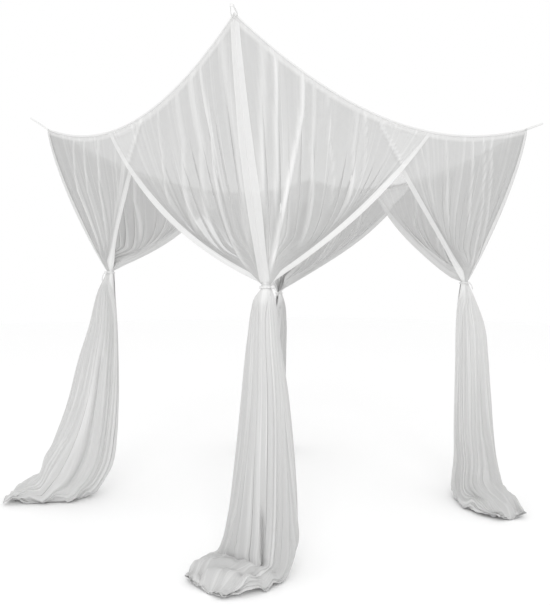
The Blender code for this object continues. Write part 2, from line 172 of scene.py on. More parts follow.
@dataclass(frozen=True)
class Corner:
    """One curtain, the corner it hangs from and the tie that draws it in.

    Left and right are as seen from outside.  Lengths are in metres and directions in degrees
    from +X.

    Attributes:
        name: The corner's name in the CAD nodes.
        x_sign: -1 or 1 for its side in X.
        y_sign: -1 or 1 for its side in Y.
        left_reach: Share of the left side's length that its left wing takes.
        right_reach: Share of the right side's length that its right wing takes.
        inset_x: How far the tie lies inward from the hook in X.
        inset_y: How far it lies inward in Y.
        tie_height: Height of the tie.
        sweep: Direction in which the cloth runs out on the floor.
        knot: Direction in which the knot looks.
        left_sag: How far the left side hem sags between top and tie.
        right_sag: The same of the right side hem.
        loop_reach: How far the hanging loop reaches outward.
        loop_rise: How far it rises.
        sections: The gathered cloth below the tie.
        creases: Creases in the fan above it.
        dents: Dents in the gathered cloth.
        hem_white: How white the side hems are.
        bundle_painted_light: Painted light and shade on the gathered cloth, as its whiteness at
            the tie, low down and on the floor.
        seed: Offset of its waves, so that no two curtains look alike.
    """

    name: str
    x_sign: int
    y_sign: int
    left_reach: float
    right_reach: float
    inset_x: float
    inset_y: float
    tie_height: float
    sweep: float
    knot: float
    left_sag: float
    right_sag: float
    loop_reach: float
    loop_rise: float
    sections: tuple[tuple[float, ...], ...]
    creases: tuple[Crease, ...]
    dents: tuple[Dent, ...]
    hem_white: float
    bundle_painted_light: tuple[float, float, float]
    seed: float


@dataclass(frozen=True)
class Cut:
    """Sizes that the pieces of the net share, in metres and radians."""

    half_length: float = 1.025
    half_width: float = 0.880
    hang_height: float = 2.063
    drop: float = 2.40
    curtain_width: float = 2.36
    roof_flat: tuple[float, float] = (2.10, 1.80)
    hang_gap: float = 0.0010
    wing_offset: float = 0.0014
    spread_end: float = 0.9
    spread_power: float = 0.8
    hem_edge: float = 0.006
    neck_radius: float = 0.0235
    neck_half: float = 0.010
    binding_height: float = 0.010
    binding_depth: float = 0.005
    corner_blend: float = 0.050
    corner_sag: float = 0.020
    belly: float = 1.28
    ring_span: float = math.radians(163)
    lapped_span: float = math.radians(186)
    floor_fullness: float = 0.70
    floor_softness: float = 0.007
    floor_gap: float = 0.0030
    centre: tuple[float, float, float] = (0.09070, -0.04215, -0.00328)


CUT = Cut()

SIDES = (
    Side(sag=0.162, bow=0.070, spread=0.014, cover=0.64, outer=1),
    Side(sag=0.187, bow=0.045, spread=0.030, cover=0.84, outer=-1),
    Side(sag=0.224, bow=0.054, spread=0.030, cover=0.88, outer=-1),
    Side(sag=0.169, bow=0.043, spread=0.014, cover=0.64, outer=-1),
)

# Each row is one section of the gathered cloth below a tie: advance along the sweep, side
# step, height, tilt in degrees, half width, and reach ahead and behind.
SECTIONS_FRONT_LEFT = (
    (0.010, 0.002, 1.112, 0, 0.045, 0.038, 0.036),
    (0.012, 0.001, 1.060, 0, 0.058, 0.048, 0.046),
    (0.012, 0.000, 0.950, 0, 0.072, 0.060, 0.058),
    (0.006, 0.000, 0.710, 0, 0.104, 0.082, 0.082),
    (0.014, 0.000, 0.420, 0, 0.134, 0.100, 0.102),
    (0.020, -0.008, 0.235, 0, 0.150, 0.106, 0.114),
    (0.028, -0.018, 0.120, 2, 0.158, 0.110, 0.126),
    (0.056, -0.030, 0.040, 28, 0.164, 0.090, 0.082),
    (0.118, -0.042, 0.032, 60, 0.164, 0.052, 0.036),
    (0.172, -0.050, 0.030, 84, 0.158, 0.044, 0.028),
    (0.250, -0.052, 0.028, 88, 0.136, 0.040, 0.026),
    (0.293, -0.046, 0.014, 90, 0.106, 0.016, 0.012),
)
SECTIONS_FRONT_RIGHT = (
    (0.000, 0.012, 1.120, 0, 0.046, 0.040, 0.040),
    (0.004, 0.034, 0.960, 0, 0.084, 0.064, 0.064),
    (0.006, 0.038, 0.780, 0, 0.095, 0.076, 0.076),
    (0.010, 0.040, 0.570, 0, 0.104, 0.086, 0.086),
    (0.018, 0.044, 0.350, 0, 0.110, 0.092, 0.094),
    (0.034, 0.048, 0.205, 10, 0.114, 0.096, 0.112),
    (0.064, 0.036, 0.106, 38, 0.128, 0.105, 0.138),
    (0.140, 0.014, 0.044, 66, 0.136, 0.098, 0.054),
    (0.250, 0.004, 0.034, 85, 0.128, 0.066, 0.034),
    (0.345, 0.005, 0.030, 88, 0.104, 0.046, 0.030),
    (0.391, 0.006, 0.014, 90, 0.076, 0.014, 0.012),
)
SECTIONS_BACK_RIGHT = (
    (0.000, -0.004, 1.090, 0, 0.038, 0.034, 0.034),
    (0.004, 0.000, 0.950, 0, 0.052, 0.050, 0.050),
    (0.010, 0.016, 0.710, 0, 0.070, 0.066, 0.066),
    (0.018, 0.036, 0.440, 0, 0.088, 0.082, 0.082),
    (0.034, 0.060, 0.225, 10, 0.108, 0.094, 0.108),
    (0.068, 0.078, 0.110, 40, 0.120, 0.100, 0.136),
    (0.132, 0.090, 0.044, 66, 0.126, 0.095, 0.054),
    (0.220, 0.098, 0.034, 86, 0.124, 0.064, 0.034),
    (0.288, 0.100, 0.030, 88, 0.118, 0.046, 0.030),
    (0.321, 0.100, 0.014, 90, 0.100, 0.014, 0.012),
)
SECTIONS_BACK_LEFT = (
    (0.016, 0.000, 1.170, 0, 0.046, 0.044, 0.044),
    (0.033, 0.000, 0.950, 0, 0.082, 0.078, 0.078),
    (0.056, 0.000, 0.780, 0, 0.098, 0.106, 0.106),
    (0.088, 0.000, 0.545, 0, 0.114, 0.136, 0.138),
    (0.128, 0.000, 0.370, 9, 0.124, 0.156, 0.165),
    (0.175, 0.000, 0.245, 28, 0.128, 0.158, 0.190),
    (0.240, 0.000, 0.130, 50, 0.130, 0.165, 0.160),
    (0.330, 0.000, 0.048, 70, 0.127, 0.120, 0.056),
    (0.430, 0.000, 0.034, 84, 0.124, 0.080, 0.034),
    (0.510, 0.000, 0.030, 88, 0.118, 0.058, 0.030),
    (0.541, 0.000, 0.018, 90, 0.104, 0.026, 0.016),
)

CREASES_FRONT_LEFT = (
    Crease(-0.55, 0.00, -0.64, 0.19, -0.83, 0.40, 0.010, 0.40),
    Crease(-0.40, 0.00, -0.45, 0.21, -0.78, 0.58, 0.019, 0.42, 0.004),
    Crease(-0.30, 0.00, -0.33, 0.28, -0.62, 0.66, 0.021, 0.44),
    Crease(-0.225, 0.00, -0.23, 0.28, -0.49, 0.87, 0.010, 0.55, 0.005),
    Crease(-0.075, 0.02, -0.04, 0.40, -0.14, 0.80, 0.021, 0.42),
    Crease(0.110, 0.00, 0.088, 0.30, 0.040, 0.66, 0.021, 0.44),
    Crease(0.165, 0.00, 0.163, 0.26, 0.188, 0.62, 0.012, 0.60, 0.006),
    Crease(0.288, 0.00, 0.300, 0.17, 0.250, 0.90, 0.013, 0.70, 0.007),
    Crease(0.340, 0.00, 0.388, 0.29, 0.613, 0.72, 0.010, 0.45),
    Crease(0.400, 0.00, 0.475, 0.21, 0.663, 0.48, 0.008, 0.35),
    Crease(0.560, 0.00, 0.625, 0.20, 0.790, 0.46, 0.011, 0.45, 0.005),
    Crease(0.600, 0.00, 0.680, 0.15, 0.750, 0.28, 0.007, 0.35),
)
CREASES_FRONT_RIGHT = (
    Crease(-0.38, 0.00, -0.39, 0.27, -0.42, 0.56, 0.010, 0.50, 0.005),
    Crease(-0.31, 0.00, -0.26, 0.41, -0.23, 0.87, 0.009, 0.40),
    Crease(-0.26, 0.00, -0.19, 0.42, -0.07, 0.88, 0.010, 0.45),
    Crease(-0.56, 0.00, -0.60, 0.25, -0.70, 0.55, 0.010, 0.40),
    Crease(-0.75, 0.00, -0.76, 0.20, -0.80, 0.40, 0.008, 0.30),
    Crease(0.21, 0.00, 0.24, 0.30, 0.34, 0.75, 0.012, 0.50, 0.005),
    Crease(0.43, 0.00, 0.50, 0.25, 0.72, 0.55, 0.011, 0.45),
    Crease(0.66, 0.00, 0.72, 0.18, 0.84, 0.35, 0.009, 0.40),
)
CREASES_BACK_RIGHT = (
    Crease(-0.62, 0.00, -0.68, 0.20, -0.84, 0.42, 0.010, 0.45),
    Crease(-0.44, 0.00, -0.48, 0.24, -0.68, 0.60, 0.012, 0.50, 0.005),
    Crease(-0.24, 0.00, -0.25, 0.30, -0.40, 0.80, 0.011, 0.45),
    Crease(0.16, 0.00, 0.17, 0.30, 0.24, 0.80, 0.010, 0.45),
    Crease(0.33, 0.00, 0.37, 0.25, 0.60, 0.68, 0.012, 0.55, 0.006),
    Crease(0.58, 0.00, 0.64, 0.20, 0.80, 0.45, 0.010, 0.40),
)
CREASES_BACK_LEFT = (
    Crease(0.30, 0.00, 0.20, 0.38, 0.35, 0.80, 0.011, 0.45, 0.005),
    Crease(0.41, 0.00, 0.37, 0.36, 0.51, 0.78, 0.010, 0.45),
    Crease(0.56, 0.00, 0.56, 0.35, 0.67, 0.77, 0.011, 0.45, 0.005),
    Crease(0.74, 0.00, 0.77, 0.20, 0.86, 0.42, 0.008, 0.35),
    Crease(0.88, 0.00, 0.87, 0.45, 0.80, 0.92, 0.026, 0.40),
    Crease(-0.20, 0.00, -0.24, 0.28, -0.29, 0.78, 0.010, 0.45),
    Crease(-0.42, 0.00, -0.47, 0.24, -0.66, 0.60, 0.012, 0.50, 0.005),
    Crease(-0.64, 0.00, -0.70, 0.20, -0.84, 0.40, 0.009, 0.40),
)

DENTS_FRONT_LEFT = (
    Dent(0.00, 0.80, 1.17, 0.22, 0.020, 0.28),
    Dent(-0.30, 0.20, 0.95, 0.12, 0.050, 0.06),
    Dent(0.42, 0.25, 1.05, 0.14, 0.045, -0.04),
)
DENTS_FRONT_RIGHT = (
    Dent(-0.40, 0.15, 0.90, 0.14, 0.050, 0.05),
    Dent(-0.12, 0.45, 1.10, 0.20, 0.035, -0.03),
)
DENTS_BACK_RIGHT = (
    Dent(0.20, 0.30, 1.00, 0.16, 0.050),
    Dent(-0.35, 0.20, 0.90, 0.14, 0.050, 0.04),
)
DENTS_BACK_LEFT = (
    Dent(0.35, 0.20, 1.00, 0.16, 0.045, 0.04),
    Dent(0.62, 0.40, 1.20, 0.20, 0.040, -0.02),
)

# The last three numbers of each curtain paint light and shade on its gathered cloth: lighter
# near the tie, darker low down, lighter again on the floor.
CORNERS = (
    Corner(
        name="front_left", x_sign=-1, y_sign=-1, left_reach=0.600, right_reach=0.600,
        inset_x=0.338, inset_y=0.238, tie_height=1.152, sweep=186, knot=284,
        left_sag=0.100, right_sag=0.046, loop_reach=0.060, loop_rise=0.000,
        sections=SECTIONS_FRONT_LEFT, creases=CREASES_FRONT_LEFT, dents=DENTS_FRONT_LEFT,
        hem_white=0.88, bundle_painted_light=(0.50, 0.04, 0.42), seed=0.4),
    Corner(
        name="front_right", x_sign=1, y_sign=-1, left_reach=0.610, right_reach=0.620,
        inset_x=0.273, inset_y=0.225, tie_height=1.200, sweep=246.5, knot=256,
        left_sag=0.035, right_sag=0.118, loop_reach=0.088, loop_rise=0.030,
        sections=SECTIONS_FRONT_RIGHT, creases=CREASES_FRONT_RIGHT, dents=DENTS_FRONT_RIGHT,
        hem_white=0.60, bundle_painted_light=(0.62, 0.08, 0.30), seed=1.9),
    Corner(
        name="back_right", x_sign=1, y_sign=1, left_reach=0.590, right_reach=0.600,
        inset_x=0.432, inset_y=0.127, tie_height=1.161, sweep=49.5, knot=60,
        left_sag=0.052, right_sag=0.050, loop_reach=0.088, loop_rise=0.045,
        sections=SECTIONS_BACK_RIGHT, creases=CREASES_BACK_RIGHT, dents=DENTS_BACK_RIGHT,
        hem_white=0.60, bundle_painted_light=(0.40, 0.25, 0.35), seed=3.1),
    Corner(
        name="back_left", x_sign=-1, y_sign=1, left_reach=0.600, right_reach=0.595,
        inset_x=0.260, inset_y=0.243, tie_height=1.259, sweep=144.6, knot=200,
        left_sag=0.040, right_sag=0.035, loop_reach=0.100, loop_rise=0.066,
        sections=SECTIONS_BACK_LEFT, creases=CREASES_BACK_LEFT, dents=DENTS_BACK_LEFT,
        hem_white=0.60, bundle_painted_light=(0.42, 0.48, 0.45), seed=4.7),
)


def corner_point(index: int) -> np.ndarray:
    """Hook position of a corner."""
    corner = CORNERS[index % 4]
    return np.array([corner.x_sign * CUT.half_length, corner.y_sign * CUT.half_width,
                     CUT.hang_height])


def side_heading(index: float) -> float:
    """Outward direction of a side, in radians from +X and unwrapped."""
    return math.radians(-90 + 90 * index)


def edge_points(index: int, share: Any) -> np.ndarray:
    """Points on a side's hanging edge.

    Args:
        index: The side.
        share: Share of the way along it, a number or an array.

    Returns:
        One point for each share.
    """
    side = SIDES[index % 4]
    share = np.asarray(share, dtype=float)
    curve = 4.0 * share * (1.0 - share)
    inward = -level(side_heading(index))
    chord = (corner_point(index) * (1.0 - share)[..., None]
             + corner_point(index + 1) * share[..., None])
    return chord + inward * side.bow * curve[..., None] - up(side.sag * curve)


# ---------------------------------------------------------------- node maths

class Wire:
    """A node's output that can be added, multiplied and compared in an expression."""

    def __init__(self, tree: bpy.types.NodeTree, socket: bpy.types.NodeSocket) -> None:
        """Keep the tree and the socket."""
        self.tree = tree
        self.socket = socket

    def _sum(self, operation: str, first: Any, second: Any) -> Wire:
        """Add one Math node.

        Args:
            operation: The node's operation.
            first: A wire or a number.
            second: A wire or a number.

        Returns:
            The node's output.
        """
        node = self.tree.nodes.new("ShaderNodeMath")
        node.operation = operation
        for socket, value in zip(node.inputs, (first, second)):
            if isinstance(value, Wire):
                self.tree.links.new(value.socket, socket)
            else:
                socket.default_value = float(value)
        return Wire(self.tree, node.outputs[0])

    def __add__(self, other: Any) -> Wire:
        """Return self + other."""
        return self._sum("ADD", self, other)

    def __radd__(self, other: Any) -> Wire:
        """Return other + self."""
        return self._sum("ADD", other, self)

    def __sub__(self, other: Any) -> Wire:
        """Return self - other."""
        return self._sum("SUBTRACT", self, other)

    def __rsub__(self, other: Any) -> Wire:
        """Return other - self."""
        return self._sum("SUBTRACT", other, self)

    def __mul__(self, other: Any) -> Wire:
        """Return self * other."""
        return self._sum("MULTIPLY", self, other)

    def __rmul__(self, other: Any) -> Wire:
        """Return other * self."""
        return self._sum("MULTIPLY", other, self)

    def at_most(self, other: Any) -> Wire:
        """Return the smaller of self and other."""
        return self._sum("MINIMUM", self, other)

    def at_least(self, other: Any) -> Wire:
        """Return the larger of self and other."""
        return self._sum("MAXIMUM", self, other)

    def within(self, least: float, most: float) -> Wire:
        """Return self, kept from least to most."""
        return self.at_least(least).at_most(most)


class Bench:
    """One material's node tree, with a method that adds any node."""

    def __init__(self, name: str) -> None:
        """Start a material with a Principled shader.

        Args:
            name: The material's name.
        """
        self.material = bpy.data.materials.new(name)
        self.material.use_nodes = True
        self.tree = self.material.node_tree
        self.shader = self.tree.nodes["Principled BSDF"]

    def node(self, kind: str, settings: dict[str, Any] | None = None,
             values: dict[int | str, Any] | None = None, output: int | str = 0) -> Wire:
        """Add a node.

        Args:
            kind: The node's type.
            settings: Its settings, set first.
            values: Numbers, colours or wires for its sockets, by name or number.
            output: The output that is wanted.

        Returns:
            That output.
        """
        node = self.tree.nodes.new(kind)
        for key, value in (settings or {}).items():
            setattr(node, key, value)
        for key, value in (values or {}).items():
            self.feed(node.inputs[key], value)
        return Wire(self.tree, node.outputs[output])

    def feed(self, socket: bpy.types.NodeSocket, value: Any) -> None:
        """Link a wire to a socket, or set the socket's value.

        Args:
            socket: The socket.
            value: A wire, a number or a colour.
        """
        if isinstance(value, Wire):
            self.tree.links.new(value.socket, socket)
        else:
            socket.default_value = value

    def mix(self, factor: Any, first: Any, second: Any) -> Wire:
        """Blend two colours.

        Args:
            factor: 0 for the first, 1 for the second.
            first: A colour or a wire.
            second: A colour or a wire.

        Returns:
            The blended colour.
        """
        return self.node("ShaderNodeMix", {"data_type": "RGBA"},
                         {0: factor, 6: first, 7: second}, output=2)

    def relief(self, height: Wire, strength: float, distance: float) -> None:
        """Raise a relief on the surface.

        Args:
            height: Its height.
            strength: How strongly it shades.
            distance: Its depth in metres.
        """
        self.feed(self.shader.inputs["Normal"], self.node("ShaderNodeBump", values={
            "Strength": strength, "Distance": distance, "Height": height}))

    def surface(self, roughness: float, gloss: float, sheen: float = 0.0) -> None:
        """Set how the surface takes the light.

        Args:
            roughness: The shader's roughness.
            gloss: Its specular level.
            sheen: The weight of its sheen.
        """
        for name, value in (("Roughness", roughness), ("Specular IOR Level", gloss),
                            ("Sheen Weight", sheen)):
            self.shader.inputs[name].default_value = value


class Cloth(Enum):
    """The cloths of the canopy, by the record's material slot."""

    NET = "net"
    TAPE = "tape"


@dataclass(frozen=True)
class NetFinish:
    """Fine knitted net: sheer and grey where single, white where hemmed, creased or gathered.
    The grey is partly painted shade, and the whiteness also carries painted light.
    """

    name: str = "sheer_white_net"
    # A single layer is grey: partly the net's own tone, partly painted shade of what lies behind
    # it.
    thin: tuple[float, float, float, float] = (0.525, 0.525, 0.522, 1.0)
    dense: tuple[float, float, float, float] = (0.81, 0.81, 0.806, 1.0)
    mesh_pitch: float = 0.0022
    mesh_cover: float = 0.08
    streak_scale: tuple[float, float] = (26.0, 0.9)
    thread_scale: tuple[float, float] = (95.0, 0.8)
    fold_most: float = 0.30
    fold_cover: float = 0.25
    least_cover: float = 0.05

    def build(self) -> bpy.types.Material:
        """Return the material."""
        bench = Bench(self.name)
        uv = bench.node("ShaderNodeUVMap", {"uv_map": CLOTH_UV})
        cover = bench.node("ShaderNodeAttribute", {"attribute_name": COVER}, output="Fac")
        # Whiteness from the layers, with painted light and shade on the gathered cloth and in
        # the tucks.
        white = bench.node("ShaderNodeAttribute", {"attribute_name": WHITE_AND_PAINTED_LIGHT}, output="Fac")
        streaks = self.noise(bench, uv, self.streak_scale)
        threads = self.noise(bench, uv, self.thread_scale)
        knit_place = bench.node("ShaderNodeMapping", values={
            "Vector": uv, "Scale": (1.0 / self.mesh_pitch, 1.0 / self.mesh_pitch, 1.0)})
        knit = bench.node("ShaderNodeTexVoronoi", {"feature": "DISTANCE_TO_EDGE"}, {
            "Vector": knit_place, "Scale": 1.0, "Randomness": 0.25})
        yarn = 1.0 - (knit * 5.0).at_most(1.0)
        soft = ((streaks - 0.50) * 1.5).within(0.0, self.fold_most)
        sharp = ((threads - 0.62) * 4.0).within(0.0, self.fold_most)
        folded = soft + sharp
        alpha = cover + folded * self.fold_cover + (yarn - 0.35) * self.mesh_cover
        bench.feed(bench.shader.inputs["Alpha"], alpha.within(self.least_cover, 1.0))
        bench.feed(bench.shader.inputs["Base Color"],
                   bench.mix((white + folded).at_most(1.0), self.thin, self.dense))
        bench.relief(streaks + threads * 0.25 + yarn * 0.05, strength=0.30, distance=0.0018)
        bench.surface(roughness=0.78, gloss=0.25, sheen=0.15)
        return bench.material

    def noise(self, bench: Bench, uv: Wire, scale: tuple[float, float]) -> Wire:
        """Noise drawn out along the cloth.

        Args:
            bench: The material's bench.
            uv: Place on the flat cloth.
            scale: Features per metre, across and along.

        Returns:
            The noise, about 0.5 in the middle.
        """
        place = bench.node("ShaderNodeMapping", values={
            "Vector": uv, "Scale": (scale[0], scale[1], 1.0)})
        return bench.node("ShaderNodeTexNoise", values={
            "Vector": place, "Scale": 1.0, "Detail": 3.0, "Roughness": 0.55})


@dataclass(frozen=True)
class TapeFinish:
    """Woven white ribbon: close, ribbed along its length, a little glossier than the net."""

    name: str
    colour: tuple[float, float, float, float] = (0.80, 0.80, 0.796, 1.0)
    shade: tuple[float, float, float, float] = (0.73, 0.73, 0.726, 1.0)
    cover: float = 0.97
    rib_pitch: float = 0.0016
    stitch_pitch: float = 0.0040
    stitch_lines: tuple[float, float] = (0.18, 0.82)
    stitch_fineness: float = 26.0

    def build(self) -> bpy.types.Material:
        """Return the material."""
        bench = Bench(self.name)
        uv = bench.node("ShaderNodeUVMap", {"uv_map": CLOTH_UV})
        across, along = (bench.node("ShaderNodeSeparateXYZ", values={"Vector": uv}, output=axis)
                         for axis in ("X", "Y"))
        rib_place = bench.node("ShaderNodeMapping", values={
            "Vector": uv, "Scale": (1.0, 1.0 / self.rib_pitch, 1.0)})
        ribs = bench.node("ShaderNodeTexWave", {"bands_direction": "Y"}, {
            "Vector": rib_place, "Scale": 0.32, "Distortion": 0.6, "Detail": 1.0})
        wear = bench.node("ShaderNodeTexNoise", values={
            "Vector": uv, "Scale": 24.0, "Detail": 3.0, "Roughness": 0.6})
        beat = along * (2.0 * math.pi / self.stitch_pitch)
        dash = bench.node("ShaderNodeMath", {"operation": "SINE"}, {0: beat})
        dash = (dash * 3.0 + 0.8).within(0.0, 1.0)
        first, second = (self.thread(bench, across, line) for line in self.stitch_lines)
        stitches = first.at_least(second) * dash
        bench.feed(bench.shader.inputs["Base Color"],
                   bench.mix((wear * 0.7 + ribs * 0.2).at_most(1.0), self.shade, self.colour))
        bench.relief(ribs * 0.30 + stitches + wear * 0.4, strength=0.4, distance=0.0008)
        bench.shader.inputs["Alpha"].default_value = self.cover
        bench.surface(roughness=0.62, gloss=0.35, sheen=0.1)
        return bench.material

    def thread(self, bench: Bench, across: Wire, line: float) -> Wire:
        """One line of stitches, before it is cut into dashes.

        Args:
            bench: The material's bench.
            across: Place across the ribbon.
            line: Where the line runs.

        Returns:
            1 on the line, falling to 0 beside it.
        """
        gap = bench.node("ShaderNodeMath", {"operation": "ABSOLUTE"}, {0: across - line})
        return (1.0 - gap * self.stitch_fineness).at_least(0.0)


@dataclass(frozen=True)
class FloorFinish:
    """Plain pale studio floor."""

    name: str = "studio_floor"
    colour: tuple[float, float, float, float] = (0.99, 0.99, 0.99, 1.0)

    def build(self) -> bpy.types.Material:
        """Return the material."""
        bench = Bench(self.name)
        bench.shader.inputs["Base Color"].default_value = self.colour
        bench.surface(roughness=0.9, gloss=0.1)
        return bench.material


# ---------------------------------------------------------------- making sheets

def clear_selection() -> None:
    """Deselect every object."""
    for item in list(bpy.context.selected_objects):
        item.select_set(False)


def settle_mesh(item: bpy.types.Object, name: str, material: bpy.types.Material,
                replaced: tuple[str, ...]) -> bpy.types.Object:
    """Name a finished piece, dress it and hang it on the part.

    Args:
        item: The piece, at the origin, unturned and unscaled.
        name: Its name.
        material: Its finish.
        replaced: CAD nodes that it stands for.

    Returns:
        The piece.
    """
    item.name = name
    item.data.name = name
    item.data.materials.clear()
    item.data.materials.append(material)
    item.data.shade_smooth()
    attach(item, "root")
    if replaced:
        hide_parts(*replaced)
    item.select_set(False)
    return item


def write_cloth_uv(mesh: bpy.types.Mesh, uv: np.ndarray) -> None:
    """Give every vertex its place on the flat cloth.

    Args:
        mesh: The mesh of the piece.
        uv: One place for each vertex, in metres.
    """
    while mesh.uv_layers:
        mesh.uv_layers.remove(mesh.uv_layers[0])
    layer = mesh.uv_layers.new(name=CLOTH_UV)
    corner = np.zeros(len(mesh.loops), dtype=np.int32)
    mesh.loops.foreach_get("vertex_index", corner)
    layer.data.foreach_set("uv", uv[corner].astype(np.float32).ravel())


def write_layer(mesh: bpy.types.Mesh, name: str, values: np.ndarray) -> None:
    """Give every vertex a number between 0 and 1, as an attribute."""
    layer = mesh.attributes.new(name, "FLOAT", "POINT")
    layer.data.foreach_set("value", np.clip(values, 0.0, 1.0).astype(np.float32))


def vertex_places(mesh: bpy.types.Mesh) -> np.ndarray:
    """Places of a mesh's vertices.

    Args:
        mesh: The mesh.

    Returns:
        One row for each vertex.
    """
    flat = np.zeros(len(mesh.vertices) * 3, dtype=np.float32)
    mesh.vertices.foreach_get("co", flat)
    return flat.reshape(-1, 3).astype(float)


def move_vertices(mesh: bpy.types.Mesh, placed: np.ndarray) -> None:
    """Move a mesh's vertices to points measured from the middle of the hooks."""
    home = placed + np.array(CUT.centre)
    mesh.vertices.foreach_set("co", home.astype(np.float32).ravel())


def flat_places(across: Any, along: Any) -> np.ndarray:
    """Place on the flat cloth of every point of a sheet, as rows x columns x 2."""
    return np.stack(np.meshgrid(across, along), axis=-1)


def facing(direction: np.ndarray | list[float]) -> Callable[[np.ndarray], np.ndarray]:
    """Outward rule of a sheet that looks one way."""
    return lambda points: np.tile(direction, (len(points), 1))


def away_from(middle: np.ndarray, rise: float = 0.0) -> Callable[[np.ndarray], np.ndarray]:
    """Outward rule of a sheet that wraps a point, or an upright line where rise is 0."""
    home = middle + np.array(CUT.centre)
    return lambda points: (points - home) * np.array([1.0, 1.0, rise])


def thicken(item: bpy.types.Object, thickness: float, offset: float) -> bpy.types.Object:
    """Give a ribbon its thickness and apply it.

    Args:
        item: The ribbon, one layer thick.
        thickness: Its thickness in metres.
        offset: 1 to thicken it outward, 0 to both sides.

    Returns:
        The ribbon.
    """
    clear_selection()
    item.select_set(True)
    bpy.context.view_layer.objects.active = item
    solidify = item.modifiers.new("thickness", "SOLIDIFY")
    solidify.thickness = thickness
    solidify.offset = offset
    bpy.ops.object.modifier_apply(modifier=solidify.name)
    return item


def lay_sheet(rows: np.ndarray, uv: np.ndarray, layers: dict[str, np.ndarray],
              outward: Callable[[np.ndarray], np.ndarray]) -> bpy.types.Object:
    """Lay a grid primitive over rows of points.

    Args:
        rows: Points, as rows x columns x 3.
        uv: Place on the flat cloth in metres, as rows x columns x 2.
        layers: Named numbers for every point, as rows x columns.
        outward: Gives the direction in which a face at a point should look.

    Returns:
        The sheet, one layer thick.
    """
    count, width = rows.shape[:2]
    clear_selection()
    bpy.ops.mesh.primitive_grid_add(x_subdivisions=width - 1, y_subdivisions=count - 1,
                                    size=2.0, location=(0.0, 0.0, 0.0))
    item = bpy.context.active_object
    mesh = item.data
    flat = vertex_places(mesh)
    column = np.rint((flat[:, 0] + 1.0) * 0.5 * (width - 1)).astype(int)
    row = np.rint((1.0 - flat[:, 1]) * 0.5 * (count - 1)).astype(int)
    move_vertices(mesh, rows[row, column])
    write_cloth_uv(mesh, uv[row, column])
    for name, values in layers.items():
        write_layer(mesh, name, values[row, column])
    mesh.update()
    middle = np.array([face.center for face in mesh.polygons])
    normal = np.array([face.normal for face in mesh.polygons])
    if float((normal * outward(middle)).sum(axis=1).mean()) < 0.0:
        mesh.flip_normals()
    return item


# ---------------------------------------------------------------- roof and binding

